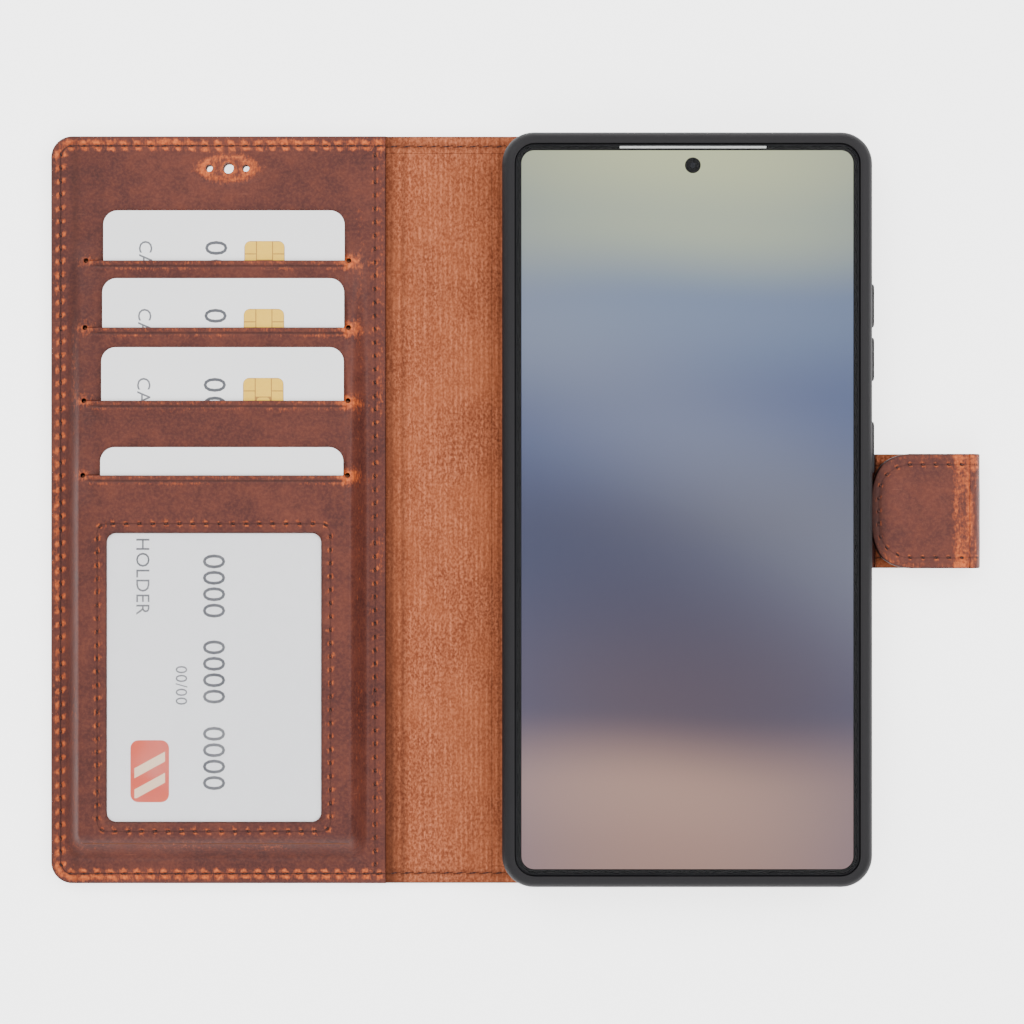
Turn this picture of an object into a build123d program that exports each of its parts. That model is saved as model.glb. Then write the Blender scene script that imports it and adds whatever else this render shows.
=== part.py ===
from build123d import *
import os

# Phone wallet case, lying open and face up on a table.
# Frame: origin at the centre of the back cover's outer face, on the table plane.
# +X to the right (towards the closing strap), +Y to the top of the phone, +Z up.
# Millimetres. The front cover, with the card panel, is on the left.

# ---------------------------------------------------------------- dimensions
# covers, seen from above
COVER_Y = 84.0            # half height of both covers and of the spine
FRONT_X = -142.4          # free edge of the front cover
HINGE_D = -60.2           # crease between front cover and spine
HINGE_A = -41.4           # crease between spine and back cover
BACK_X = 41.0             # free edge of the back cover
CORNER_R = 5.0            # rounded corners of the covers
CREASE_GAP = 0.05         # half gap between the solids at a crease

# thickness layers
LEATHER_T = 1.2           # outer leather
SPINE_TOP = 2.2           # top of the spine lining, and height of both crease axes
FRONT_TOP = 2.4           # top of the front cover's lining
BACK_TOP = 2.6            # top of the back cover's lining
FRONT_BOARD_T = 0.6       # stiffener board in the front cover
BACK_BOARD_T = 0.8        # stiffener board in the back cover

# stitching: thread strips lie flush in a pressed groove
STITCH_IN = 2.4           # stitch line to cover edge
THREAD_W, THREAD_T = 0.6, 0.30
GROOVE_W, GROOVE_T = 0.7, 0.35

# card panel
PANEL_X0, PANEL_X1 = FRONT_X, -67.1     # panel runs from the free edge to the cash pocket mouth
PANEL_BASE = 3.5          # top of the panel's border
PANEL_T = 0.70            # panel leather
CARD_T = 0.76
CARD_W, CARD_L, CARD_R = 53.98, 85.6, 3.18
CARD_CX = -103.3
CARD_CLEAR = 0.04
CARD_TOPS = [67.0, 51.7, 36.2, 13.9]    # upper edges of the four cards
SLOT_YS = [55.8, 40.7, 24.3, 7.65]      # lips of the four slots
SLOT_X0, SLOT_X1 = -134.4, -75.1
PITCH_Z = CARD_T + 2 * CARD_CLEAR + PANEL_T   # height of one card and one leather layer
POCKET_Y0 = -74.4         # bottom of the card pockets
LINER_T = 0.30
WINDOW = (-128.8, -81.2, -69.3, -5.2)   # x0, x1, y0, y1 of the clear window
WINDOW_R = 2.0
FILM_T, FILM_LAP = 0.20, 1.6
SPEAKER = [(-106.7, 0.8), (-102.4, 1.2), (-98.5, 0.8)]   # x and radius of the call holes
SPEAKER_Y = 76.6

# shell
SHELL_X, SHELL_Y = 41.0, 83.6           # half sizes outside
SHELL_R = 7.0
SHELL_Z0, SHELL_FLOOR, SHELL_TOP = 2.6, 3.7, 13.1
CAVITY_X, CAVITY_Y, CAVITY_R = 38.2, 81.0, 4.5
LINER_TOP = 4.0
PLATE_T = 0.6
CAMERA_WIN = (9.0, 34.0, 41.0, 75.0)    # x0, x1, y0, y1 of the rear camera window in the shell
COVER_WIN_M = 1.5                       # how much larger it is in the back cover
PORT_W, PORT_Z0, PORT_Z1 = 13.0, 5.4, 10.8
BUTTONS = [("volume_up_button", 40.5, 50.2), ("volume_down_button", 28.6, 38.3), ("power_button", 8.1, 19.6)]
BUTTON_Z, BUTTON_H, BUTTON_OUT, BUTTON_CLEAR = 8.1, 2.6, 0.7, 0.15
BUTTON_TRAVEL = 0.4

# phone
PHONE_X, PHONE_Y, PHONE_R = 38.0, 80.8, 4.2
PHONE_Z0, PHONE_Z1 = 4.05, 12.25
DISPLAY_X, DISPLAY_Y, DISPLAY_R = 36.7, 79.5, 2.8
GLASS_T = 0.55

# strap
STRAP_Y0, STRAP_Y1 = -13.1, 12.5
STRAP_ROOT_X = 42.4       # crease at the back cover's edge
STRAP_FOLD_X, STRAP_FOLD_Z = 63.3, 2.6
STRAP_END_X = 42.9        # end of the folded-back tip
STRAP_TIP_R = 10.0
STRAP_T = 2.0             # root thickness
TIP_Z0, TIP_Z1 = 3.2, 6.6

os.makedirs("parts", exist_ok=True)


# ---------------------------------------------------------------- helpers
def block(x0, x1, y0, y1, z0, z1):
    return Pos((x0 + x1) / 2, (y0 + y1) / 2, (z0 + z1) / 2) * Box(x1 - x0, y1 - y0, z1 - z0)


def slab(x0, x1, y0, y1, z0, z1, r):
    """A plate with four rounded corners."""
    return extrude(Pos((x0 + x1) / 2, (y0 + y1) / 2, z0) * RectangleRounded(x1 - x0, y1 - y0, r), amount=z1 - z0)


def left_slab(x0, x1, y0, y1, z0, z1, r):
    """A plate whose two left corners are rounded."""
    return slab(x0, x1 + 20, y0, y1, z0, z1, r) & block(x0 - 1, x1, y0 - 1, y1 + 1, z0 - 1, z1 + 1)


def right_slab(x0, x1, y0, y1, z0, z1, r):
    """A plate whose two right corners are rounded."""
    return slab(x0 - 20, x1, y0, y1, z0, z1, r) & block(x0, x1 + 1, y0 - 1, y1 + 1, z0 - 1, z1 + 1)


def ring(x0, x1, y0, y1, z0, z1, r, w):
    """A strip of width w whose centre line is the rounded rectangle."""
    h = w / 2
    return slab(x0 - h, x1 + h, y0 - h, y1 + h, z0, z1, r + h) - slab(x0 + h, x1 - h, y0 + h, y1 - h, z0 - 1, z1 + 1, r - h)


def peg(x, y, z0, z1, r):
    return Pos(x, y, (z0 + z1) / 2) * Cylinder(r, z1 - z0)


def save(name, part):
    """Write one sub-part, its solids grouped when there are several."""
    solids = part.solids()
    out = solids[0] if len(solids) == 1 else Compound(children=list(solids))
    out.label = name
    export_step(out, f"parts/{name}.step")


def stitch_lines(w, t, z_faces, x0, x1, clip):
    """Strips that follow the cover edge, one under each stated face height."""
    parts = None
    for z_top in z_faces:
        s = ring(x0, x1, -COVER_Y + STITCH_IN, COVER_Y - STITCH_IN, z_top - t, z_top, CORNER_R - STITCH_IN, w) & block(*clip, z_top - t - 1, z_top + 1)
        parts = s if parts is None else parts + s
    return parts


FLUSH = 0.02              # thread lies this far under the face

# ---------------------------------------------------------------- front cover
fx1 = HINGE_D - CREASE_GAP
front_ring = (FRONT_X + STITCH_IN, FRONT_X + 200)
out_clip = (FRONT_X - 1, fx1, -90, 90)
panel_clip = (FRONT_X - 1, PANEL_X1, -90, 90)
suede_clip = (PANEL_X1, fx1, -90, 90)


def front_path(w, t, z_top, clip):
    return stitch_lines(w, t, [z_top], front_ring[0], front_ring[1], clip)


outer_front = left_slab(FRONT_X, fx1, -COVER_Y, COVER_Y, 0, LEATHER_T, CORNER_R)
outer_front -= front_path(GROOVE_W, GROOVE_T, GROOVE_T, out_clip)
for sx, sr in SPEAKER:
    outer_front -= peg(sx, SPEAKER_Y, -1, 3, sr)
save("outer_leather_front", outer_front)

# board in the front cover, with a window for the strap's catch plate
board = slab(-138.0, -64.0, -79.0, 72.0, LEATHER_T, LEATHER_T + FRONT_BOARD_T, 2.0)
catch = slab(-137.0, -123.0, -9.3, 8.7, LEATHER_T, LEATHER_T + FRONT_BOARD_T, 1.5)
board -= slab(-137.0, -123.0, -9.3, 8.7, LEATHER_T - 1, LEATHER_T + FRONT_BOARD_T + 1, 1.5)
save("front_stiffener", board)
save("strap_catch_plate", catch)

lining_front = left_slab(FRONT_X, fx1, -COVER_Y, COVER_Y, LEATHER_T, FRONT_TOP, CORNER_R)
lining_front -= slab(-138.0, -64.0, -79.0, 72.0, LEATHER_T - 1, LEATHER_T + FRONT_BOARD_T, 2.0)
lining_front -= front_path(GROOVE_W, GROOVE_T, FRONT_TOP, suede_clip)
for sx, sr in SPEAKER:
    lining_front -= peg(sx, SPEAKER_Y, 0, 4, sr)
save("front_lining", lining_front)

# backing of the card pockets; the cash pocket is between it and the lining
bx0, bx1, by0, by1 = -137.6, -71.4, -78.6, 72.0
backing = slab(bx0, bx1, by0, by1, 2.5, 2.8, 2.0) + (slab(bx0, bx1, by0, by1, 2.5, PANEL_BASE, 2.0) & block(SLOT_X0, SLOT_X1, POCKET_Y0, SLOT_YS[0], 2.5, PANEL_BASE))
save("pocket_backing", backing)

# card panel: one leather with four slots, raised in steps over the cards
z_low = [PANEL_BASE + k * PITCH_Z for k in range(5)]     # underside of each card space
panel = left_slab(PANEL_X0, PANEL_X1, -COVER_Y, COVER_Y, FRONT_TOP, PANEL_BASE, CORNER_R)
panel -= block(-71.4, PANEL_X1 + 1, -78.6, 78.6, FRONT_TOP - 1, 2.5)          # free edge at the cash pocket
panel -= slab(bx0, bx1, by0, by1, FRONT_TOP - 1, 2.8, 2.0)                    # seat of the backing
panel -= block(bx1 - 3, bx1 + 0.05, -78.6, 78.6, FRONT_TOP - 1, 2.5)
top_z = z_low[4]
foot = Pos(0, 0, PANEL_BASE) * make_face(Polyline((-139.0, -78.8), (-70.9, -78.8), (-70.9, SLOT_YS[0]), (-139.0, SLOT_YS[0]), close=True))
head = Pos(0, 0, top_z) * make_face(Polyline((-135.9, -75.7), (-73.7, -75.7), (-73.7, SLOT_YS[0]), (-135.9, SLOT_YS[0]), close=True))
raised = loft([foot, head])
for k in range(1, 4):
    raised -= block(-150, -60, SLOT_YS[k], 90, z_low[k], 20)
panel = panel + raised
panel -= block(SLOT_X0, SLOT_X1, POCKET_Y0, SLOT_YS[0], 2.0, PANEL_BASE)       # seat of the raised backing
for k in range(4):
    z0 = z_low[k] if k == 0 else z_low[k] - PANEL_T
    panel -= block(SLOT_X0, SLOT_X1, POCKET_Y0, SLOT_YS[k], z0 - (0.01 if k == 0 else 0), z_low[k] + CARD_T + 2 * CARD_CLEAR)
wx0, wx1, wy0, wy1 = WINDOW
zf = z_low[3] + CARD_T + 2 * CARD_CLEAR
panel -= slab(wx0, wx1, wy0, wy1, zf - 1, top_z + 1, WINDOW_R)
panel -= slab(wx0 - FILM_LAP, wx1 + FILM_LAP, wy0 - FILM_LAP, wy1 + FILM_LAP, zf - 0.5, zf + FILM_T, WINDOW_R)
for sx, sr in SPEAKER:
    panel -= peg(sx, SPEAKER_Y, 2, 5, sr)
panel -= front_path(GROOVE_W, GROOVE_T, PANEL_BASE, panel_clip)
edge_x = PANEL_X1 - STITCH_IN
y_in = COVER_Y - STITCH_IN - GROOVE_W / 2 - 0.1
panel -= block(edge_x - GROOVE_W / 2, edge_x + GROOVE_W / 2, -y_in, y_in, PANEL_BASE - GROOVE_T, PANEL_BASE + 1)
panel -= ring(wx0 - 2.1, wx1 + 2.1, wy0 - 2.1, wy1 + 2.1, top_z - GROOVE_T, top_z + 1, WINDOW_R + 2.1, GROOVE_W)
save("pocket_panel", panel)
save("id_window_film", slab(wx0 - FILM_LAP, wx1 + FILM_LAP, wy0 - FILM_LAP, wy1 + FILM_LAP, zf, zf + FILM_T, WINDOW_R))

# fabric liners between neighbouring cards
for k in range(1, 4):
    save(f"slot_liner_{k + 1}", block(SLOT_X0, SLOT_X1, POCKET_Y0, SLOT_YS[k], z_low[k] - LINER_T, z_low[k]))

thread = front_path(THREAD_W, THREAD_T, PANEL_BASE - FLUSH, (FRONT_X - 1, PANEL_X1, -90, 90))
thread += front_path(THREAD_W, THREAD_T, FRONT_TOP - FLUSH, (PANEL_X1 + 0.1, fx1, -90, 90))
thread += front_path(THREAD_W, THREAD_T, THREAD_T + FLUSH, out_clip)
save("front_edge_thread", thread)
y_th = y_in - 0.1
save("pocket_edge_thread", block(edge_x - THREAD_W / 2, edge_x + THREAD_W / 2, -y_th, y_th, PANEL_BASE - FLUSH - THREAD_T, PANEL_BASE - FLUSH))
save("id_window_thread", ring(wx0 - 2.1, wx1 + 2.1, wy0 - 2.1, wy1 + 2.1, top_z - FLUSH - THREAD_T, top_z - FLUSH, WINDOW_R + 2.1, THREAD_W))

# ---------------------------------------------------------------- spine
sx0, sx1 = HINGE_D + CREASE_GAP, HINGE_A - CREASE_GAP
spine_clip = (sx0, sx1, -90, 90)
outer_spine = block(sx0, sx1, -COVER_Y, COVER_Y, 0, LEATHER_T) - front_path(GROOVE_W, GROOVE_T, GROOVE_T, spine_clip)
save("outer_leather_spine", outer_spine)
save("spine_lining", block(sx0, sx1, -COVER_Y, COVER_Y, LEATHER_T, SPINE_TOP) - front_path(GROOVE_W, GROOVE_T, SPINE_TOP, spine_clip))
save("spine_edge_thread", front_path(THREAD_W, THREAD_T, SPINE_TOP - FLUSH, spine_clip) + front_path(THREAD_W, THREAD_T, THREAD_T + FLUSH, spine_clip))

# ---------------------------------------------------------------- back cover
bkx0 = HINGE_A + CREASE_GAP
cx0, cx1, cy0, cy1 = CAMERA_WIN
m = COVER_WIN_M
cover_window = slab(cx0 - m, cx1 + m, cy0 - m, cy1 + m, -1, 5, 5.5)
back_clip = (bkx0, BACK_X + 1, -90, 90)
board_zone = (-37.0, 36.6, -79.0, 79.0)


def back_path(w, t, z_top):
    return stitch_lines(w, t, [z_top], BACK_X - STITCH_IN - 200, BACK_X - STITCH_IN, back_clip)


outer_back = right_slab(bkx0, BACK_X, -COVER_Y, COVER_Y, 0, LEATHER_T, CORNER_R) - cover_window
outer_back -= back_path(GROOVE_W, GROOVE_T, GROOVE_T)
save("outer_leather_back", outer_back)

anchor_x0 = 22.0
z_b0, z_b1 = LEATHER_T, LEATHER_T + BACK_BOARD_T
window_rim = slab(cx0 - m - 1.5, cx1 + m + 1.5, cy0 - m - 1.5, cy1 + m + 1.5, -1, 5, 7.0)
zone = slab(*board_zone, z_b0, z_b1, 2.0) - window_rim
anchor_room = block(anchor_x0, STRAP_ROOT_X - CREASE_GAP, STRAP_Y0, STRAP_Y1, z_b0, z_b1)
magnet_room = [slab(-32.0, -8.0, -40.0, 40.0, z_b0, z_b1, 2.0), slab(-4.0, 18.0, -40.0, 30.0, z_b0, z_b1, 2.0)]
board = zone - anchor_room
for room in magnet_room:
    board -= room
save("back_stiffener", board)
save("back_magnets", magnet_room[0] + magnet_room[1])
save("strap_anchor", anchor_room)

lining_back = right_slab(bkx0, BACK_X, -COVER_Y, COVER_Y, LEATHER_T, BACK_TOP, CORNER_R) - cover_window
lining_back -= zone
lining_back -= block(30, BACK_X + 2, STRAP_Y0, STRAP_Y1, z_b0 - 1, z_b1)
lining_back -= back_path(GROOVE_W, GROOVE_T, BACK_TOP)
save("back_lining", lining_back)
save("back_edge_thread", back_path(THREAD_W, THREAD_T, BACK_TOP - FLUSH) + back_path(THREAD_W, THREAD_T, THREAD_T + FLUSH))

# ---------------------------------------------------------------- closing strap
# root: from the cover's edge to the fold
rx0 = STRAP_ROOT_X + CREASE_GAP
fold_gap = 0.1
ROOT_LEATHER_T = 1.1
strap_in = STITCH_IN
ry0, ry1 = STRAP_Y0 + strap_in, STRAP_Y1 - strap_in
root_x1 = STRAP_FOLD_X - fold_gap
root_leather = block(rx0, root_x1, STRAP_Y0, STRAP_Y1, 0, ROOT_LEATHER_T)
root_lining = block(rx0, root_x1, STRAP_Y0, STRAP_Y1, ROOT_LEATHER_T, STRAP_T)


def rails(x0, x1, w, z_top, t):
    return block(x0, x1, ry0 - w / 2, ry0 + w / 2, z_top - t, z_top) + block(x0, x1, ry1 - w / 2, ry1 + w / 2, z_top - t, z_top)


root_leather -= rails(rx0 - 1, root_x1 + 1, GROOVE_W, GROOVE_T, GROOVE_T + 1)
root_lining -= rails(rx0 - 1, root_x1 + 1, GROOVE_W, STRAP_T + 0.5, GROOVE_T + 0.5)
save("strap_root_leather", root_leather)
save("strap_root_lining", root_lining)
save("strap_root_thread", rails(rx0, root_x1, THREAD_W, THREAD_T + FLUSH, THREAD_T) + rails(rx0, root_x1, THREAD_W, STRAP_T - FLUSH, THREAD_T))

# tip: turns back over the root, grain side out, with a rounded end
LINING_T, MAGNET_T = 0.8, 1.5
mag_z0, mag_z1 = TIP_Z0 + LINING_T, TIP_Z0 + LINING_T + MAGNET_T
tip_outline_lo = slab(STRAP_END_X, STRAP_FOLD_X + 40, STRAP_Y0, STRAP_Y1, TIP_Z0, TIP_Z1, STRAP_TIP_R)
fold_x0 = STRAP_FOLD_X + fold_gap
tip_flat = tip_outline_lo & block(STRAP_END_X - 1, fold_x0, -40, 40, TIP_Z0 - 1, TIP_Z1 + 1)
# the tip carries the upper quarter of the rolled bend; the lower quarter is the stretch that flexes
bend_r = (TIP_Z1 - 0.05) / 2
bend_c = (STRAP_FOLD_X, bend_r + 0.05)
bend = Pos(bend_c[0], (STRAP_Y0 + STRAP_Y1) / 2, bend_c[1]) * Rot(90, 0, 0) * Cylinder(bend_r, STRAP_Y1 - STRAP_Y0)
bend_core = Pos(bend_c[0], (STRAP_Y0 + STRAP_Y1) / 2, bend_c[1]) * Rot(90, 0, 0) * Cylinder(bend_r - 1.1, STRAP_Y1 - STRAP_Y0 + 2)
bend_leather = (bend - bend_core) & block(fold_x0, STRAP_FOLD_X + 10, -40, 40, bend_c[1], 20)
mag = slab(STRAP_END_X + 4.6, STRAP_END_X + 17.6, -9.3, 8.7, mag_z0, mag_z1, 4.0)
# leather cap: top skin and a turned-down rim round the magnet layer
tip_leather = tip_flat & block(0, fold_x0, -40, 40, mag_z0, TIP_Z1)
tip_leather -= mag
tip_leather = tip_leather + bend_leather
tip_lining = tip_flat & block(0, fold_x0, -40, 40, TIP_Z0, mag_z0)


def tip_path(w, z_top, t, x1):
    loop = ring(STRAP_END_X + strap_in, STRAP_FOLD_X + 60, ry0, ry1, z_top - t, z_top, STRAP_TIP_R - strap_in, w)
    return loop & block(0, x1, -40, 40, z_top - t - 1, z_top + 1)


tip_leather -= tip_path(GROOVE_W, TIP_Z1 + 0.5, GROOVE_T + 0.5, fold_x0 - 0.5)
tip_lining -= tip_path(GROOVE_W, TIP_Z0 + GROOVE_T, GROOVE_T + 0.5, fold_x0 - 0.5)
save("strap_tip_leather", tip_leather)
save("strap_tip_lining", tip_lining)
save("strap_tip_magnet", mag)
save("strap_tip_thread", tip_path(THREAD_W, TIP_Z1 - FLUSH, THREAD_T, fold_x0 - 0.6) + tip_path(THREAD_W, TIP_Z0 + THREAD_T + FLUSH, THREAD_T, fold_x0 - 0.6))

# ---------------------------------------------------------------- shell
shell = slab(-SHELL_X, SHELL_X, -SHELL_Y, SHELL_Y, SHELL_Z0, SHELL_TOP, SHELL_R)
shell = fillet(shell.faces().sort_by(Axis.Z)[-1].outer_wire().edges(), 2.4)
shell = fillet(shell.faces().sort_by(Axis.Z)[0].outer_wire().edges(), 1.8)
shell -= slab(-CAVITY_X, CAVITY_X, -CAVITY_Y, CAVITY_Y, SHELL_FLOOR, SHELL_TOP + 1, CAVITY_R)
shell_window = slab(cx0, cx1, cy0, cy1, -1, SHELL_FLOOR + 1, 4.5)
shell -= shell_window
plate = slab(-30.0, 16.0, -42.0, 36.0, SHELL_FLOOR - PLATE_T, SHELL_FLOOR, 3.0)
shell -= plate
# port and speaker openings in the lower wall, button windows in the right wall
port_mid = (PORT_Z0 + PORT_Z1) / 2
shell -= Pos(0, -CAVITY_Y, port_mid) * Rot(90, 0, 0) * extrude(RectangleRounded(PORT_W, PORT_Z1 - PORT_Z0, 2.2), amount=8, both=True)
for cx in (-20.0, 20.0):
    shell -= Pos(cx, -CAVITY_Y, 8.1) * Rot(90, 0, 0) * extrude(RectangleRounded(10.0, 1.8, 0.89), amount=8, both=True)
shell -= Pos(14.0, CAVITY_Y, 8.1) * Rot(90, 0, 0) * extrude(Circle(0.8), amount=8, both=True)
for name, y0, y1 in BUTTONS:
    ym, ly = (y0 + y1) / 2, y1 - y0
    zh = BUTTON_H / 2
    body_w = Pos(CAVITY_X + 1.4, ym, BUTTON_Z) * Rot(0, 90, 0) * extrude(RectangleRounded(BUTTON_H + 2 * BUTTON_CLEAR, ly + 2 * BUTTON_CLEAR, zh), amount=6, both=True)
    shell -= body_w
    # button cap with a flange behind the wall side, travelling inwards
    shaft = Pos(CAVITY_X + 0.75, ym, BUTTON_Z) * Rot(0, 90, 0) * extrude(RectangleRounded(BUTTON_H, ly, zh - 0.01), amount=SHELL_X + BUTTON_OUT - CAVITY_X - 0.75)
    shaft = fillet(shaft.faces().sort_by(Axis.X)[-1].outer_wire().edges(), 0.4)
    save(name, shaft)
save("shell_body", shell)
save("shell_steel_plate", plate)
save("shell_inner_liner", slab(-CAVITY_X + 0.1, CAVITY_X - 0.1, -CAVITY_Y + 0.1, CAVITY_Y - 0.1, SHELL_FLOOR, LINER_TOP, CAVITY_R - 0.1) - shell_window)

# ---------------------------------------------------------------- phone
gz0 = PHONE_Z1 - GLASS_T
frame_p = slab(-PHONE_X, PHONE_X, -PHONE_Y, PHONE_Y, PHONE_Z0, PHONE_Z1 - 0.15, PHONE_R)
frame_p = fillet(frame_p.faces().sort_by(Axis.Z)[0].outer_wire().edges(), 1.2)
gi = 0.35                 # rim of the frame round the glass
screen_seat = slab(-PHONE_X + gi, PHONE_X - gi, -PHONE_Y + gi, PHONE_Y - gi, gz0 - 0.2, PHONE_Z1 + 1, PHONE_R - gi)
frame_p -= screen_seat
back_seat = slab(-PHONE_X + 1.6, PHONE_X - 1.6, -PHONE_Y + 1.6, PHONE_Y - 1.6, PHONE_Z0 - 1, PHONE_Z0 + 0.6, PHONE_R - 1.6)
frame_p -= back_seat
slot_p = Pos(0, -PHONE_Y, 8.1) * Rot(90, 0, 0) * extrude(RectangleRounded(9.0, 3.2, 1.55), amount=6, both=True)
frame_p -= slot_p
# earpiece opening at the top edge of the glass
ear = block(-15.0, 17.4, PHONE_Y - gi - 0.55, PHONE_Y - gi - 0.05, PHONE_Z1 - 0.4, PHONE_Z1 - 0.05)
front_cam = (1.2, 76.2)
lens_hole = peg(front_cam[0], front_cam[1], gz0 - 0.2, gz0, 1.75)
glass = slab(-PHONE_X + gi, PHONE_X - gi, -PHONE_Y + gi, PHONE_Y - gi, gz0, PHONE_Z1, PHONE_R - gi)
glass -= block(-15.05, 17.45, PHONE_Y - gi - 0.6, PHONE_Y - gi + 1, PHONE_Z1 - 0.45, PHONE_Z1 + 1)
mask = slab(-PHONE_X + gi, PHONE_X - gi, -PHONE_Y + gi, PHONE_Y - gi, gz0 - 0.2, gz0, PHONE_R - gi) - slab(-DISPLAY_X, DISPLAY_X, -DISPLAY_Y, DISPLAY_Y, gz0 - 1, gz0 + 1, DISPLAY_R)
disp = slab(-DISPLAY_X, DISPLAY_X, -DISPLAY_Y, DISPLAY_Y, gz0 - 0.2, gz0, DISPLAY_R) - lens_hole
# rear camera island and lenses, standing out of the back glass into the shell's window
island = slab(cx0 + 1.5, cx1 - 1.5, cy0 + 1.5, cy1 - 1.5, 3.05, PHONE_Z0 + 0.6, 4.0)
lens_xy = [(cx0 + 9.0, cy1 - 9.0), (cx0 + 9.0, cy0 + 9.5)]
flash_xy = (cx1 - 5.2, cy1 - 8.0)
lenses = None
for lx, ly in lens_xy:
    island -= peg(lx, ly, 2.0, 3.9, 5.6)
    lens = peg(lx, ly, 3.15, 3.9, 5.6)
    lenses = lens if lenses is None else lenses + lens
island -= peg(flash_xy[0], flash_xy[1], 2.0, 3.5, 2.2)
back_glass = slab(-PHONE_X + 1.6, PHONE_X - 1.6, -PHONE_Y + 1.6, PHONE_Y - 1.6, PHONE_Z0, PHONE_Z0 + 0.6, PHONE_R - 1.6) - slab(cx0 + 1.5, cx1 - 1.5, cy0 + 1.5, cy1 - 1.5, 0, PHONE_Z0 + 1, 4.0)
save("phone_frame", frame_p)
save("phone_screen_glass", glass)
save("phone_bezel_mask", mask)
save("phone_display", disp)
save("phone_front_camera", lens_hole)
save("phone_earpiece", ear)
save("phone_back_glass", back_glass)
save("phone_camera_island", island)
save("phone_camera_lenses", lenses)
save("phone_flash", peg(flash_xy[0], flash_xy[1], 3.2, 3.5, 2.2))
port = Pos(0, -PHONE_Y + 5.0, 8.1) * Rot(90, 0, 0) * extrude(RectangleRounded(6.6, 0.8, 0.35), amount=3.5)
save("phone_port_tongue", Pos(0, -1.0, 0) * port)

# ---------------------------------------------------------------- cards
CHIP_W, CHIP_L, CHIP_T = 9.0, 11.5, 0.10
for k in range(4):
    z0 = z_low[k] + CARD_CLEAR
    top = CARD_TOPS[k]
    card = slab(CARD_CX - CARD_W / 2, CARD_CX + CARD_W / 2, top - CARD_L, top, z0, z0 + CARD_T, CARD_R)
    chip_x, chip_y = CARD_CX + 9.1, top - 12.6
    chip = slab(chip_x - CHIP_W / 2, chip_x + CHIP_W / 2, chip_y - CHIP_L / 2, chip_y + CHIP_L / 2, z0 + CARD_T - CHIP_T, z0 + CARD_T, 1.4)
    card -= chip
    save(f"card_{k + 1}", card)
    save(f"card_{k + 1}_chip", chip)
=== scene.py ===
import math
import bpy
import numpy as np
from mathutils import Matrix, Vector


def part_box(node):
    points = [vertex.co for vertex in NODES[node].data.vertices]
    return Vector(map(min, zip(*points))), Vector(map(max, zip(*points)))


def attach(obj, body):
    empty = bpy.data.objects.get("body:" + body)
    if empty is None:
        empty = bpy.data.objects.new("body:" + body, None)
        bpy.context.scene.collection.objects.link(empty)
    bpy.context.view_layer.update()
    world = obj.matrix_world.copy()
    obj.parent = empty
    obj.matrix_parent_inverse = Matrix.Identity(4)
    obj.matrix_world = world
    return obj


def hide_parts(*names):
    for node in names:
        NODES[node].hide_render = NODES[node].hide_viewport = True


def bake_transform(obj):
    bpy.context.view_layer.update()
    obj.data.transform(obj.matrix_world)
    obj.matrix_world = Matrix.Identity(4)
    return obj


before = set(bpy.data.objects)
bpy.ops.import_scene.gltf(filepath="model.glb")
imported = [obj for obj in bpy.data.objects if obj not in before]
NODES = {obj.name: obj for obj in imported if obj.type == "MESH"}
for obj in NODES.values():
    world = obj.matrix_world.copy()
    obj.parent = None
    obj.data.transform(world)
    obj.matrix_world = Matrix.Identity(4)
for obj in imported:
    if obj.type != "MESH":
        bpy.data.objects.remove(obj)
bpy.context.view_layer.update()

MM = 0.001


def lin(r, g, b, a=1.0):
    f = lambda c: c / 255 / 12.92 if c / 255 <= 0.04045 else ((c / 255 + 0.055) / 1.055) ** 2.4
    return (f(r), f(g), f(b), a)


def bx(node):
    lo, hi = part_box(node)
    return [c * 1000 for c in lo], [c * 1000 for c in hi]


# ------------------------------------------------------------------ sizes, in mm, from the CAD nodes
(FX0, YLO, _), (FXR, YHI, LEATHER_T) = bx("outer_leather_front")
(SPX0, _, _), (SPX1, _, SPINE_TOP) = bx("spine_lining")
X_D, X_A = (FXR + SPX0) / 2, (SPX1 + bx("outer_leather_back")[0][0]) / 2
X_MID = X_A - 1.8          # the two halves of each sheet meet here, beside the back fold
BACK_X = bx("outer_leather_back")[1][0]
YH = (YHI - YLO) / 2
CR = 5.0
(PX0, _, PZ0), (PX1, _, PZ1) = bx("pocket_panel")
BASE = bx("card_1")[0][2] - 0.04          # top of the panel's border
PITCH = bx("card_2")[0][2] - bx("card_1")[0][2]
PANEL_T = 0.70
SLOTS = [bx("slot_liner_2")[1][1] + 15.1, bx("slot_liner_2")[1][1], bx("slot_liner_3")[1][1], bx("slot_liner_4")[1][1]]
SLIT0, SLIT1 = -134.2, -75.35
WIN = (-128.8, -81.2, -69.3, -5.2)
STI = 2.4
SPEAK = [(-106.7, 0.8), (-102.4, 1.2), (-98.5, 0.8)]
SPEAK_Y = 76.6
CAMWIN = (7.5, 35.5, 39.5, 76.5)
CAMWIN_R = 5.5


# ------------------------------------------------------------------ small maths
def smooth(t):
    t = np.clip(t, 0.0, 1.0)
    return t * t * (3 - 2 * t)


def gauss(d, w):
    return np.exp(-((d / w) ** 2))


_rng = np.random.default_rng(7)
_lat = _rng.random((64, 64))


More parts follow.
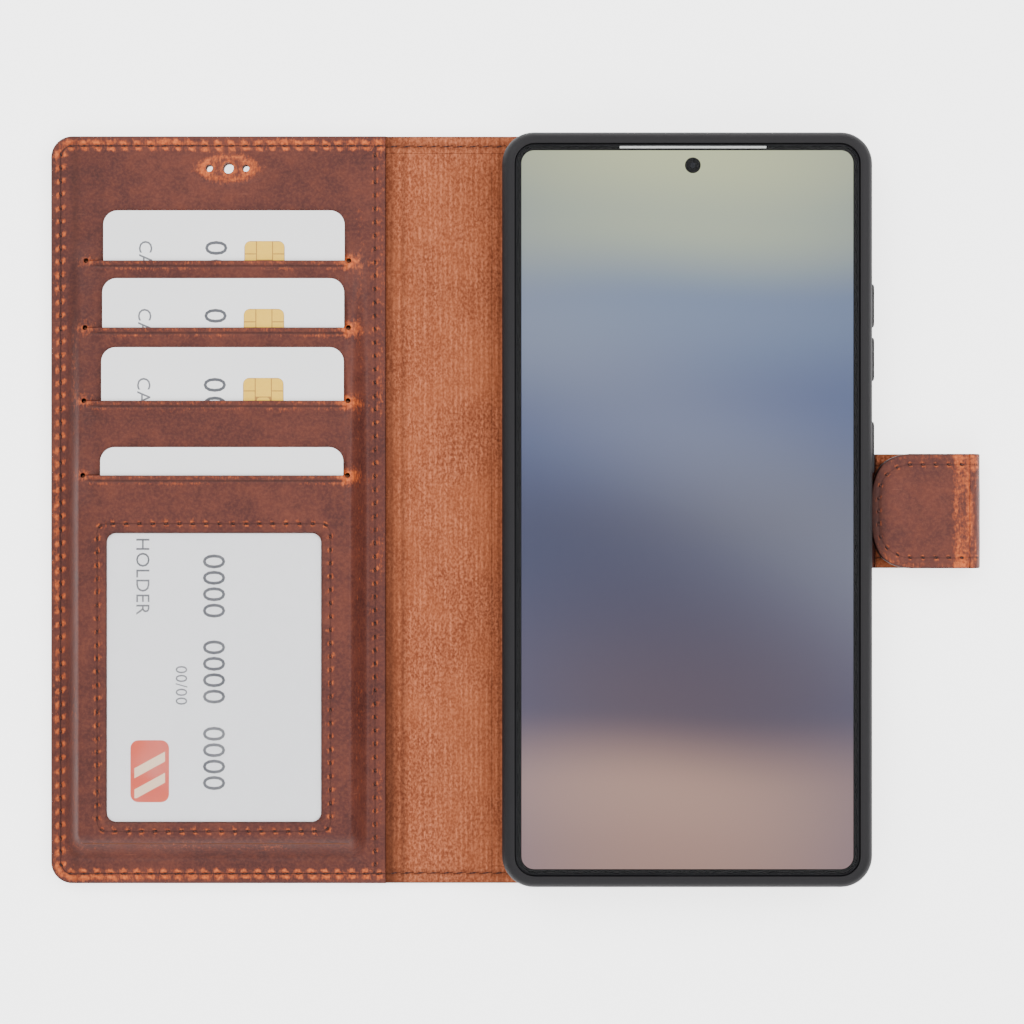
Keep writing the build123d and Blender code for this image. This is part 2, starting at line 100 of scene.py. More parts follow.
def wob(x, y, cell, seed=0):
    """Smooth value noise from -1 to 1 with features of about one cell, in mm."""
    u, v = np.asarray(x) / cell + 17.3 * (seed + 1), np.asarray(y) / cell + 9.7 * (seed + 1)
    i, j = np.floor(u).astype(int), np.floor(v).astype(int)
    fu, fv = u - i, v - j
    fu, fv = fu * fu * (3 - 2 * fu), fv * fv * (3 - 2 * fv)
    g = lambda a, b: _lat[a % 64, b % 64]
    return 2 * ((g(i, j) * (1 - fu) + g(i + 1, j) * fu) * (1 - fv) + (g(i, j + 1) * (1 - fu) + g(i + 1, j + 1) * fu) * fv) - 1


class Seam:
    """A stitch line: s along it, signed distance d from it, and the stitch centres."""

    def __init__(self, pts, pitch, kind=0.0):
        self.P = np.array(pts, float)
        v = self.P[1:] - self.P[:-1]
        self.L = np.hypot(v[:, 0], v[:, 1])
        self.S = np.concatenate([[0], np.cumsum(self.L)])
        n = max(1, round(self.S[-1] / pitch))
        self.pitch = self.S[-1] / n
        self.n = n
        self.kind = kind

    def near(self, x, y, reach=4.0):
        s, ad, sd = np.zeros(x.shape), np.full(x.shape, reach), np.full(x.shape, 1.2)
        lo, hi = self.P.min(0) - reach, self.P.max(0) + reach
        ok = np.flatnonzero((x > lo[0]) & (x < hi[0]) & (y > lo[1]) & (y < hi[1]))
        px, py = x[ok], y[ok]
        bs, ba, bd = s[ok], ad[ok], sd[ok]
        for k in range(len(self.L)):
            a, b = self.P[k], self.P[k + 1]
            t = (b - a) / self.L[k]
            rx, ry = px - a[0], py - a[1]
            q = np.clip(rx * t[0] + ry * t[1], 0, self.L[k])
            ex, ey = rx - q * t[0], ry - q * t[1]
            d = np.hypot(ex, ey)
            hit = d < ba
            ba = np.where(hit, d, ba)
            bd = np.where(hit, -(rx * t[1] - ry * t[0]), bd)
            bs = np.where(hit, self.S[k] + q, bs)
        s[ok], ad[ok], sd[ok] = bs, ba, bd
        return s, ad, np.clip(sd, -1.2, 1.2)

    def at(self, s):
        s = min(max(s, 0.0), self.S[-1])
        k = min(int(np.searchsorted(self.S, s, side="right")) - 1, len(self.L) - 1)
        a, b = self.P[k], self.P[k + 1]
        t = (b - a) / self.L[k]
        p = a + t * (s - self.S[k])
        return float(p[0]), float(p[1]), math.atan2(t[1], t[0])


def arc(cx, cy, r, a0, a1, n=9):
    return [(cx + r * math.cos(math.radians(a0 + (a1 - a0) * k / n)), cy + r * math.sin(math.radians(a0 + (a1 - a0) * k / n))) for k in range(n + 1)]


def u_path(x_end, x_turn, yh, r):
    """From (x_end, +yh) to the turning side at x_turn and back to (x_end, -yh)."""
    if x_turn < x_end:
        return [(x_end, yh)] + arc(x_turn + r, yh - r, r, 90, 180) + arc(x_turn + r, -yh + r, r, 180, 270) + [(x_end, -yh)]
    return [(x_end, yh)] + arc(x_turn - r, yh - r, r, 90, 0) + arc(x_turn - r, -yh + r, r, 0, -90) + [(x_end, -yh)]


# ------------------------------------------------------------------ mesh building
def axis_points(a, b, step, zones=(), exact=()):
    """Grid lines from a to b: step apart, finer in zones (lo, hi, step), passing through the exact values."""
    cuts = {round(a, 4), round(b, 4)} | {round(e, 4) for e in exact if a < e < b}
    for lo, hi, _ in zones:
        cuts |= {round(c, 4) for c in (lo, hi) if a < c < b}
    cuts = sorted(cuts)
    keep = [cuts[0]]
    fixed = {round(e, 4) for e in exact} | {round(a, 4), round(b, 4)}
    for c in cuts[1:]:
        if c - keep[-1] < 0.05 and c not in fixed:
            continue
        if c - keep[-1] < 0.05 and keep[-1] not in fixed:
            keep[-1] = c
            continue
        keep.append(c)
    out = []
    for p, q in zip(keep, keep[1:]):
        mid = (p + q) / 2
        s = min([step] + [z[2] for z in zones if z[0] <= mid <= z[1]])
        n = max(1, math.ceil((q - p) / s - 1e-6))
        out += [p + (q - p) * k / n for k in range(n)]
    return np.array(out + [keep[-1]])


def edge_zone(e, inward, near=1.0):
    """Finer lines beside an edge at e."""
    return [(min(e, e + inward * 0.6), max(e, e + inward * 0.6), 0.12), (min(e, e + inward * near * 3.6), max(e, e + inward * near * 3.6), 0.4)]


def end_rows(yh, r, n=11):
    return [yh - r + r * math.sin(math.radians(90 * k / n)) for k in range(n + 1)]


def rows(yh, r, step, zones=(), exact=()):
    e = end_rows(yh, r)
    mid = axis_points(-(yh - r), yh - r, step, zones, exact)
    return np.array([-v for v in reversed(e[1:])] + list(mid) + e[1:])


def new_object(name, verts, faces, material, attrs=None, smooth_shade=True, rest=None):
    me = bpy.data.meshes.new(name)
    v = np.asarray(verts, dtype=np.float64) * MM
    me.from_pydata([], [], [])
    me.vertices.add(len(v))
    me.vertices.foreach_set("co", v.ravel())
    lens = np.array([len(f) for f in faces], dtype=np.int32) if not isinstance(faces, np.ndarray) else np.full(len(faces), faces.shape[1], dtype=np.int32)
    flat = np.concatenate([np.asarray(f) for f in faces]).astype(np.int32) if not isinstance(faces, np.ndarray) else faces.ravel().astype(np.int32)
    me.loops.add(len(flat))
    me.loops.foreach_set("vertex_index", flat)
    me.polygons.add(len(lens))
    me.polygons.foreach_set("loop_start", np.concatenate([[0], np.cumsum(lens)[:-1]]).astype(np.int32))
    me.polygons.foreach_set("loop_total", lens)
    me.update(calc_edges=True)
    me.validate()
    me.polygons.foreach_set("use_smooth", np.full(len(me.polygons), smooth_shade))
    me.attributes.new("rp", "FLOAT_VECTOR", "POINT").data.foreach_set("vector", (v if rest is None else np.asarray(rest) * MM).astype(np.float32).ravel())
    for key, val in (attrs or {}).items():
        me.attributes.new(key, "FLOAT", "POINT").data.foreach_set("value", np.asarray(val, dtype=np.float32))
    me.materials.append(material)
    o = bpy.data.objects.new(name, me)
    bpy.context.scene.collection.objects.link(o)
    return o


class Grid:
    """A thin closed sheet on a grid in x and y, with slits and openings."""

    def __init__(self, xs, ys):
        self.xs, self.ys = np.asarray(xs), np.asarray(ys)
        self.X, self.Y = np.meshgrid(self.xs, self.ys, indexing="ij")
        self.n, self.m = self.X.shape
        self.alive = np.ones((self.n - 1, self.m - 1), bool)
        self.slits = []
        self.warps = []

    def cell_box(self, x0, x1, y0, y1):
        cx, cy = (self.xs[1:] + self.xs[:-1]) / 2, (self.ys[1:] + self.ys[:-1]) / 2
        self.alive[np.ix_((cx > x0) & (cx < x1), (cy > y0) & (cy < y1))] = False

    def round_hole(self, cx, cy, r, a):
        self.cell_box(cx - a, cx + a, cy - a, cy + a)

        def warp(x, y):
            dx, dy = x - cx, y - cy
            m, d = np.maximum(abs(dx), abs(dy)), np.hypot(dx, dy)
            f = np.where(m < a - 1e-6, 1.0, 1 + (r * m / (a * np.maximum(d, 1e-9)) - 1) * (1 - smooth((m - a) / 1.0)))
            return cx + dx * f, cy + dy * f
        self.warps.append(warp)

    def rounded_window(self, x0, x1, y0, y1, r):
        self.cell_box(x0, x1, y0, y1)
        for cx, sx in ((x0, 1), (x1, -1)):
            for cy, sy in ((y0, 1), (y1, -1)):
                def warp(x, y, cx=cx, cy=cy, sx=sx, sy=sy):
                    u, v = (x - cx) * sx, (y - cy) * sy
                    inside = (u > 1e-6) & (v > 1e-6)
                    bu, bv = np.maximum(u, 0), np.maximum(v, 0)
                    near = (~inside) & (bu <= r) & (bv <= r) & (u > -2.2) & (v > -2.2)
                    tau = np.where(bu > 0, 0.5 + bu / (2 * r), (r - bv) / (2 * r))
                    phi = math.pi + tau * math.pi / 2
                    ax, ay = r + r * np.cos(phi), r + r * np.sin(phi)
                    dist = np.hypot(np.minimum(u, 0), np.minimum(v, 0))
                    fade = np.where(near, 1 - smooth(dist / 2.0), 0)
                    return x + sx * (ax - bu) * fade, y + sy * (ay - bv) * fade
                self.warps.append(warp)

    def corner_warp(self, x_edge, sign, yh, r):
        """Rows near the ends get shorter so that the corner at x_edge is round. sign is +1 for a left edge."""
        def warp(x, y):
            over = np.clip(np.abs(y) - (yh - r), 0, r)
            cut = r - np.sqrt(np.maximum(r * r - over * over, 0))
            u = (x - x_edge) * sign
            span = 2 * r
            return np.where((u < span), x_edge + sign * (cut + u * (span - cut) / span), x), y
        self.warps.append(warp)

    def build(self, name, material, top, bot, attr=None, y0=0.0):
        n, m = self.n, self.m
        ids = np.arange(n * m).reshape(n, m)
        x, y = self.X.ravel().copy(), self.Y.ravel().copy()
        band = np.zeros(n * m)
        if self.slits:
            slot_y = [s[0] for s in self.slits]
            for k, sy in enumerate(slot_y):
                band[y <= sy + 1e-6] = k + 1
        c = np.stack([ids[:-1, :-1], ids[1:, :-1], ids[1:, 1:], ids[:-1, 1:]], -1)
        ex, ey, eb = [], [], []
        for k, (sy, sx0, sx1) in enumerate(self.slits):
            J = int(np.argmin(abs(self.ys - sy)))
            inner = np.flatnonzero((self.xs > sx0 + 1e-6) & (self.xs < sx1 - 1e-6))
            copy = {int(i): len(x) + len(ex) + q for q, i in enumerate(inner)}
            for i in inner:
                ex.append(self.xs[i]); ey.append(self.ys[J]); eb.append(k)
            for i in range(n - 1):
                if i in copy:
                    c[i, J, 0] = copy[i]
                if i + 1 in copy:
                    c[i, J, 1] = copy[i + 1]
        x, y, band = np.concatenate([x, ex]), np.concatenate([y, ey]), np.concatenate([band, eb])
        for warp in self.warps:
            x, y = warp(x, y)
        y = y + y0
        N = len(x)
        zt, zb = top(x, y, band), bot(x, y, band)
        verts = np.concatenate([np.stack([x, y, zt], -1), np.stack([x, y, zb], -1)])
        q = c[self.alive]
        edges = np.concatenate([q[:, [0, 1]], q[:, [1, 2]], q[:, [2, 3]], q[:, [3, 0]]]).astype(np.int64)
        code, back = edges[:, 0] * N + edges[:, 1], edges[:, 1] * N + edges[:, 0]
        rim = edges[~np.isin(back, code)]
        walls = np.stack([rim[:, 1], rim[:, 0], rim[:, 0] + N, rim[:, 1] + N], -1)
        faces = np.concatenate([q, q[:, ::-1] + N, walls])
        used = np.zeros(2 * N, bool)
        used[faces.ravel()] = True
        index = np.cumsum(used) - 1
        at = {}
        if attr:
            at_top, at_bot = attr(x, y, band, 1), attr(x, y, band, -1)
            at = {k: np.concatenate([at_top[k], at_bot[k]])[used] for k in at_top}
        o = new_object(name, verts[used], index[faces], material, at)
        weld(o)
        flat_walls(o)
        return o


def weld(o):
    import bmesh
    bm = bmesh.new()
    bm.from_mesh(o.data)
    bmesh.ops.remove_doubles(bm, verts=bm.verts, dist=0.000002)
    bm.to_mesh(o.data)
    bm.free()
    o.data.update()


def flat_walls(o, axis=2):
    """Cut edges stay crisp, so that they don't shade the faces beside them."""
    nrm = np.zeros(len(o.data.polygons) * 3, np.float32)
    o.data.polygons.foreach_get("normal", nrm)
    o.data.polygons.foreach_set("use_smooth", np.abs(nrm.reshape(-1, 3)[:, axis]) > 0.04)
    o.data.update()


def seam_attrs(x, y, seams):
    """The nearest seam of every vertex: s in stitches, distance, signed distance, kind."""
    s, ad, sd, kd = np.zeros(x.shape), np.full(x.shape, 4.0), np.full(x.shape, 1.2), np.zeros(x.shape)
    for seam in seams:
        a, b, c = seam.near(x, y)
        hit = b < ad
        s, ad, sd, kd = np.where(hit, a / seam.pitch, s), np.where(hit, b, ad), np.where(hit, c, sd), np.where(hit, seam.kind, kd)
    return s, ad, sd, kd


def pucker(s, ad, strength=1.0):
    """Leather stands up either side of each stitch and dips at its middle."""
    beat = 0.5 + 0.5 * np.cos(2 * np.pi * (s - 0.5))
    return strength * (0.085 * gauss(ad - 0.8, 0.38) * beat ** 2.2 - 0.16 * gauss(ad, 0.30) * (0.45 + 0.55 * beat))


# ------------------------------------------------------------------ materials
def mk(nt, kind, ins=None, **props):
    n = nt.nodes.new(kind)
    for k, v in props.items():
        setattr(n, k, v)
    for k, v in (ins or {}).items():
        s = n.inputs[k]
        if isinstance(v, bpy.types.NodeSocket):
            nt.links.new(v, s)
        else:
            s.default_value = v
    return n


class Mat:
    def __init__(self, name, attr=True):
        self.m = bpy.data.materials.new(name)
        self.m.use_nodes = True
        self.nt = self.m.node_tree
        self.nt.nodes.clear()
        self.out = mk(self.nt, "ShaderNodeOutputMaterial")
        if attr:
            self.co = mk(self.nt, "ShaderNodeAttribute", attribute_name="rp").outputs["Vector"]
        else:
            self.co = mk(self.nt, "ShaderNodeTexCoord").outputs["Object"]

    def a(self, name):
        return mk(self.nt, "ShaderNodeAttribute", attribute_name=name).outputs["Fac"]

    def math(self, op, a, b=0.0, c=0.0, clamp=False):
        return mk(self.nt, "ShaderNodeMath", {0: a, 1: b, 2: c}, operation=op, use_clamp=clamp).outputs[0]

    def mix(self, f, a, b, blend="MIX"):
        return mk(self.nt, "ShaderNodeMix", {0: f, 6: a, 7: b}, data_type="RGBA", blend_type=blend).outputs[2]

    def noise(self, scale, detail=3.0, rough=0.55, co=None, dist=0.0):
        return mk(self.nt, "ShaderNodeTexNoise", {"Vector": co or self.co, "Scale": scale, "Detail": detail, "Roughness": rough, "Distortion": dist}).outputs["Fac"]

    def stretch(self, sx, sy, sz, rot=0.0):
        return mk(self.nt, "ShaderNodeMapping", {"Vector": self.co, "Scale": (sx, sy, sz), "Rotation": (0, 0, rot)}).outputs["Vector"]

    def ramp(self, f, lo, hi):
        return mk(self.nt, "ShaderNodeMapRange", {0: f, 1: lo, 2: hi, 3: 0.0, 4: 1.0}, interpolation_type="SMOOTHSTEP").outputs[0]

    def bell(self, d, w):
        """exp(-(d/w)^2)"""
        q = self.math("DIVIDE", d, w)
        return self.math("EXPONENT", self.math("MULTIPLY", self.math("MULTIPLY", q, q), -1.0))

    def bump(self, h, dist, strength=1.0, normal=None):
        ins = {"Height": h, "Distance": dist, "Strength": strength}
        if normal is not None:
            ins["Normal"] = normal
        return mk(self.nt, "ShaderNodeBump", ins).outputs[0]

    def finish(self, **ins):
        b = mk(self.nt, "ShaderNodeBsdfPrincipled")
        for k, v in ins.items():
            key = k.replace("_", " ")
            s = b.inputs[key]
            if isinstance(v, bpy.types.NodeSocket):
                self.nt.links.new(v, s)
            else:
                s.default_value = v
        self.nt.links.new(b.outputs[0], self.out.inputs["Surface"])
        return self.m


def leather(name, attr=True, paint=True, warm=0.0):
    """Waxed pull-up leather: deep brown where the wax lies, orange where it is bent, stretched or pierced; the pull and
    dark attributes also carry a painted highlight and painted shade.
    """
    M = Mat(name, attr)
    big = M.noise(42.0, 3.0, 0.6, dist=0.4)
    mid = M.noise(260.0, 4.0, 0.62)
    fine = M.noise(1500.0, 3.0, 0.6)
    cloud = M.ramp(big, 0.34, 0.66)
    col = M.mix(cloud, lin(72, 38, 35), lin(89, 47, 40))
    col = M.mix(M.math("MULTIPLY", M.ramp(mid, 0.45, 0.75), 0.36), col, lin(106, 55, 40))
    col = M.mix(M.math("MULTIPLY", M.ramp(mid, 0.55, 0.30), 0.50), col, lin(60, 33, 32))
    col = M.mix(M.math("MULTIPLY", M.ramp(fine, 0.35, 0.72), 0.28), col, lin(124, 70, 52))
    # fine pale scuffs in two directions
    for rot, seed in ((0.5, 0), (-0.9, 1)):
        st = M.noise(1.0, 2.0, 0.5, co=M.stretch(95.0, 1900.0, 95.0, rot))
        col = M.mix(M.math("MULTIPLY", M.ramp(st, 0.73, 0.82), 0.35), col, lin(150, 90, 68))
    if paint:
        pull, dark = M.a("pull"), M.a("dark")
        s, ad, sd, kd = M.a("s"), M.a("ad"), M.a("sd"), M.a("kd")
        t = M.math("SUBTRACT", M.math("FRACT", s), 0.5)
        wig = M.math("SUBTRACT", M.noise(420.0, 2.0), 0.5)
        near = M.ramp(ad, 3.0, 2.2)
        # kind 0: strong puckers both sides; 1: small rims; kd scales from one to the other
        strong = M.math("SUBTRACT", 1.0, kd, clamp=True)
        lean = M.math("ADD", t, M.math("MULTIPLY", sd, 0.09))
        blob = M.math("MULTIPLY", M.bell(M.math("ADD", M.math("SUBTRACT", ad, 0.76), M.math("MULTIPLY", wig, 0.5)), 0.46), M.bell(M.math("ADD", lean, M.math("MULTIPLY", wig, 0.14)), 0.23))
        rim = M.math("MULTIPLY", M.bell(M.math("SUBTRACT", ad, 0.40), 0.24), M.bell(lean, 0.19))
        orange = M.math("ADD", M.math("MULTIPLY", blob, strong), M.math("MULTIPLY", rim, 0.75))
        streak = M.noise(1.0, 2.0, 0.6, co=M.stretch(2500.0, 800.0, 1500.0))
        grit = M.math("MULTIPLY", M.math("SUBTRACT", M.math("ADD", streak, M.noise(900.0, 3.0, 0.65)), 1.0), 1.35)
        level = M.math("ADD", M.math("ADD", pull, orange), grit)
        grainy = M.math("MULTIPLY", M.ramp(level, 0.22, 1.25), M.ramp(M.math("ADD", pull, orange), 0.02, 0.22))
        col = M.mix(grainy, col, M.mix(M.ramp(fine, 0.35, 0.65), lin(158, 72, 38), lin(202, 100, 48)))
        # painted shade: the sunken groove along each seam (line) and the stitch holes (hole) are painted near-black
        line = M.math("MULTIPLY", M.bell(M.math("SUBTRACT", sd, M.math("MULTIPLY", wig, 0.35)), 0.13), M.math("SUBTRACT", 0.80, M.math("MULTIPLY", kd, 0.45)))
        hole = M.math("MULTIPLY", M.bell(ad, 0.40), M.bell(lean, 0.19))
        col = M.mix(M.math("MULTIPLY", M.math("MAXIMUM", line, M.math("MULTIPLY", hole, 0.95)), near), col, lin(30, 13, 12))
        # dark attribute: dyed cut edges, plus painted shade in the slot creases, on the outer shoulder and where the
        # strap tip runs under the shell
        col = M.mix(dark, col, lin(34, 18, 16))
    rough = M.math("ADD", 0.50, M.math("MULTIPLY", M.math("SUBTRACT", mid, 0.5), 0.30))
    pores = mk(M.nt, "ShaderNodeTexVoronoi", {"Vector": M.co, "Scale": 1150.0, "Randomness": 1.0}, feature="SMOOTH_F1").outputs["Distance"]
    h = M.math("ADD", M.math("MULTIPLY", pores, 0.7), M.math("MULTIPLY", fine, 0.6))
    nrm = M.bump(h, 0.00008, 0.55)
    nrm = M.bump(mid, 0.00030, 0.35, nrm)
    return M.finish(Base_Color=col, Roughness=rough, Specular_IOR_Level=0.16, Normal=nrm)


def suede(name, attr=True, paint=True, ribs=True, base=(190, 113, 79), deep=(112, 57, 37)):
    """Brushed suede with fine ribs along the case; the dark attribute carries painted shade beside the card panel and
    in the folds.
    """
    M = Mat(name, attr)
    fuzz = M.noise(1.0, 3.0, 0.65, co=M.stretch(2300.0, 1500.0, 1500.0))
    patch = M.noise(55.0, 3.0, 0.6)
    col = M.mix(M.ramp(fuzz, 0.32, 0.70), lin(*deep), lin(*base))
    col = M.mix(M.math("MULTIPLY", M.ramp(patch, 0.35, 0.70), 0.40), col, lin(186, 106, 68))
    h = fuzz
    if ribs:
        wave = mk(M.nt, "ShaderNodeTexWave", {"Vector": M.co, "Scale": 272.0, "Distortion": 1.6, "Detail": 2.0, "Detail Scale": 0.9}, wave_type="BANDS", bands_direction="X").outputs["Fac"]
        broken = M.math("MULTIPLY", wave, M.ramp(M.noise(1.0, 2.0, 0.5, co=M.stretch(900.0, 120.0, 120.0)), 0.30, 0.62))
        col = M.mix(M.math("MULTIPLY", M.math("SUBTRACT", 1.0, broken), 0.42), col, lin(112, 52, 28))
        h = M.math("ADD", M.math("MULTIPLY", fuzz, 0.55), M.math("MULTIPLY", broken, 0.55))
    if paint:
        dark = M.a("dark")
        s, ad, sd = M.a("s"), M.a("ad"), M.a("sd")
        t = M.math("SUBTRACT", M.math("FRACT", s), 0.5)
        # painted shade in the sunken seam: dark slanted marks in the stitch dents (line) and a soft band along it
        # (soft)
        line = M.math("MULTIPLY", M.bell(M.math("SUBTRACT", sd, M.math("MULTIPLY", t, 0.35)), 0.20), 0.85)
        soft = M.math("MULTIPLY", M.bell(ad, 0.7), 0.35)
        col = M.mix(M.math("MAXIMUM", line, soft), col, lin(58, 26, 17))
        # dark attribute: a dark cut edge and mottling, plus painted shade beside the card panel and in the folds
        col = M.mix(dark, col, lin(62, 30, 19))
    nrm = M.bump(h, 0.00016, 0.8)
    return M.finish(Base_Color=col, Roughness=0.95, Specular_IOR_Level=0.12, Sheen_Weight=0.18, Sheen_Roughness=0.45, Sheen_Tint=lin(255, 214, 186), Normal=nrm)


def thread_mat(name):
    M = Mat(name)
    ply = mk(M.nt, "ShaderNodeTexWave", {"Vector": M.co, "Scale": 620.0, "Distortion": 1.0}, wave_type="BANDS", bands_direction="DIAGONAL").outputs["Fac"]
    col = M.mix(ply, lin(34, 17, 17), lin(74, 42, 36))
    return M.finish(Base_Color=col, Roughness=0.72, Specular_IOR_Level=0.25, Normal=M.bump(ply, 0.00005, 0.6))


def plain(name, a, b, scale, rough=0.5, spread=0.1, bump=0.00004, spec=0.4, metal=0.0, attr=False, coat=0.0, sheen=0.0, strength=0.4, detail=3.0):
    """A moulded, coated or cast surface: two close tones, varied roughness and a fine bump."""
    M = Mat(name, attr)
    f, g = M.noise(scale, detail), M.noise(scale * 0.08, 2.0)
    col = M.mix(M.math("ADD", M.math("MULTIPLY", f, 0.6), M.math("MULTIPLY", g, 0.4)), lin(*a), lin(*b))
    r = M.math("ADD", rough - spread / 2, M.math("MULTIPLY", g, spread))
    return M.finish(Base_Color=col, Roughness=r, Specular_IOR_Level=spec, Metallic=metal, Coat_Weight=coat, Coat_Roughness=0.12, Sheen_Weight=sheen, Normal=M.bump(f, bump, strength))


def clear(name, tint, gloss, rough, wave_scale, wave_bump, haze=0.0, haze_col=(255, 255, 255)):
    """A clear sheet: what lies behind shows, with a thin reflection over it."""
    M = Mat(name, False)
    w = M.noise(wave_scale, 2.0)
    nrm = M.bump(w, wave_bump, 0.5)
    tr = mk(M.nt, "ShaderNodeBsdfTransparent", {"Color": tint}).outputs[0]
    gl = mk(M.nt, "ShaderNodeBsdfGlossy", {"Color": (1, 1, 1, 1), "Roughness": rough, "Normal": nrm}).outputs[0]
    fr = mk(M.nt, "ShaderNodeFresnel", {"IOR": 1.45}).outputs[0]
    mix = mk(M.nt, "ShaderNodeMixShader", {0: M.math("MULTIPLY", fr, gloss), 1: tr, 2: gl}).outputs[0]
    if haze > 0:
        df = mk(M.nt, "ShaderNodeBsdfDiffuse", {"Color": lin(*haze_col)}).outputs[0]
        amount = M.math("MULTIPLY", M.ramp(M.noise(70.0, 3.0), 0.35, 0.75), haze)
        mix = mk(M.nt, "ShaderNodeMixShader", {0: amount, 1: mix, 2: df}).outputs[0]
    M.nt.links.new(mix, M.out.inputs["Surface"])
    return M.m


def display_mat():
    """A soft vertical gradient with one wide band of light across it."""
    M = Mat("display_gradient", False)
    xyz = mk(M.nt, "ShaderNodeSeparateXYZ", {0: M.co})
    v = M.math("MULTIPLY_ADD", xyz.outputs["Y"], 1 / 0.159, 0.5)
    drift = M.math("MULTIPLY", M.math("SUBTRACT", M.noise(9.0, 1.0), 0.5), 0.10)
    r = mk(M.nt, "ShaderNodeValToRGB", {0: M.math("ADD", v, drift, clamp=True)})
    stops = [(0.0, (186, 146, 134)), (0.12, (204, 162, 146)), (0.24, (106, 90, 104)), (0.46, (84, 86, 116)), (0.62, (98, 112, 158)), (0.78, (134, 152, 186)), (0.90, (202, 212, 186)), (1.0, (228, 234, 186))]
    el = r.color_ramp.elements
    while len(el) > 1:
        el.remove(el[-1])
    el[0].position, el[0].color = stops[0][0], lin(*stops[0][1])
    for p, c in stops[1:]:
        e = el.new(p)
        e.color = lin(*c)
    r.color_ramp.interpolation = "EASE"
    side = M.math("MULTIPLY", M.math("ABSOLUTE", xyz.outputs["X"]), 1 / 0.0367)
    col = M.mix(M.math("MULTIPLY", M.math("POWER", side, 2.0), 0.28), r.outputs["Color"], lin(92, 108, 150))
    # a broad diagonal swell of light, softly edged
    diag = M.math("ADD", M.math("MULTIPLY", xyz.outputs["X"], 9.0), M.math("MULTIPLY", xyz.outputs["Y"], 14.0))
    swell = M.math("MULTIPLY", M.bell(M.math("SUBTRACT", diag, 0.22), 0.34), 0.22)
    col = M.mix(swell, col, lin(206, 208, 214))
    sink = M.math("MULTIPLY", M.bell(M.math("ADD", diag, 0.42), 0.36), 0.30)
    col = M.mix(sink, col, lin(74, 70, 94))
    return M.finish(Base_Color=(0, 0, 0, 1), Roughness=0.25, Specular_IOR_Level=0.2, Emission_Color=col, Emission_Strength=0.92)


def card_mat():
    M = Mat("card_laminate", False)
    g, f = M.noise(30.0, 2.0), M.noise(2600.0, 2.0)
    col = M.mix(g, lin(244, 245, 247), lin(252, 252, 252))
    return M.finish(Base_Color=col, Roughness=M.math("ADD", 0.30, M.math("MULTIPLY", g, 0.12)), Coat_Weight=0.35, Coat_Roughness=0.1, Specular_IOR_Level=0.4, Normal=M.bump(f, 0.00001, 0.2))


LEATHER = leather("pull_up_leather")
LEATHER_CAD = leather("pull_up_leather_solid", attr=False, paint=False)
SUEDE = suede("ribbed_suede")
SUEDE_CAD = suede("suede_solid", attr=False, paint=False)
THREAD = thread_mat("waxed_thread")
SHELL = plain("soft_touch_shell", (24, 23, 25), (33, 32, 34), 2400.0, 0.56, 0.12, 0.00003, 0.18)
BUTTON = plain("soft_touch_button", (28, 27, 29), (38, 37, 39), 2400.0, 0.50, 0.1, 0.00003, 0.2)
METAL = plain("dark_anodised", (24, 24, 26), (34, 34, 37), 3600.0, 0.38, 0.1, 0.00001, 0.4, metal=0.7)
BACKGLASS = plain("satin_back_glass", (30, 31, 34), (38, 39, 43), 900.0, 0.30, 0.1, 0.000004, 0.5, coat=0.3)
BLACK = plain("black_border", (3, 3, 4), (6, 6, 7), 600.0, 0.3, 0.05, 0.000002, 0.1)
LENS = plain("coated_lens", (4, 5, 10), (10, 13, 26), 220.0, 0.1, 0.04, 0.000002, 0.2, coat=0.15)
MESH_METAL = plain("earpiece_mesh", (150, 152, 152), (206, 208, 206), 5200.0, 0.4, 0.1, 0.00005, 0.5, metal=0.4)
FLASH = plain("flash_lens", (232, 226, 196), (246, 242, 220), 1400.0, 0.3, 0.1, 0.00005, 0.5)
FABRIC = plain("pocket_fabric", (88, 54, 40), (112, 70, 52), 2600.0, 0.9, 0.08, 0.0001, 0.1, strength=0.8, sheen=0.2)
MICRO = plain("microfibre", (40, 38, 40), (56, 53, 56), 4200.0, 0.95, 0.04, 0.0001, 0.1, strength=0.8, sheen=0.35)
BOARD = plain("fibre_board", (62, 60, 58), (84, 80, 76), 1300.0, 0.85, 0.1, 0.00005, 0.2)
STEEL = plain("spring_steel", (140, 142, 146), (176, 178, 182), 1800.0, 0.32, 0.15, 0.00001, 0.5, metal=1.0)
MAGNET = plain("plated_magnet", (116, 118, 124), (150, 152, 158), 900.0, 0.28, 0.12, 0.00001, 0.5, metal=1.0)
CARD = card_mat()
GOLD = plain("gold_contacts", (236, 184, 50), (250, 208, 84), 1500.0, 0.34, 0.12, 0.00001, 0.4, metal=0.25, attr=True)
GOLD_DARK = plain("gold_gap", (150, 104, 40), (186, 138, 62), 1500.0, 0.5, 0.1, 0.00001, 0.4, attr=True)
INK = plain("grey_ink", (70, 72, 78), (92, 94, 100), 2200.0, 0.42, 0.08, 0.00001, 0.4, attr=True)
INK_SOFT = plain("pale_ink", (92, 94, 100), (116, 118, 124), 2200.0, 0.42, 0.08, 0.00001, 0.4, attr=True)
PATCH = plain("printed_patch", (206, 62, 62), (228, 112, 64), 130.0, 0.36, 0.08, 0.00001, 0.4, attr=True)
PATCH_BAND = plain("printed_patch_band", (240, 206, 170), (250, 226, 196), 130.0, 0.36, 0.08, 0.00001, 0.4, attr=True)
GLASS = clear("cover_glass", (0.985, 0.99, 0.995, 1), 0.30, 0.03, 30.0, 0.000002)
FILM = clear("window_film", (0.985, 0.985, 0.99, 1), 0.4, 0.10, 95.0, 0.00022, haze=0.05)


def dress(name, material):
    o = NODES[name]
    me = o.data
    if not me.materials:
        me.materials.append(material)
    for slot_ in o.material_slots:
        slot_.material = material
    return o


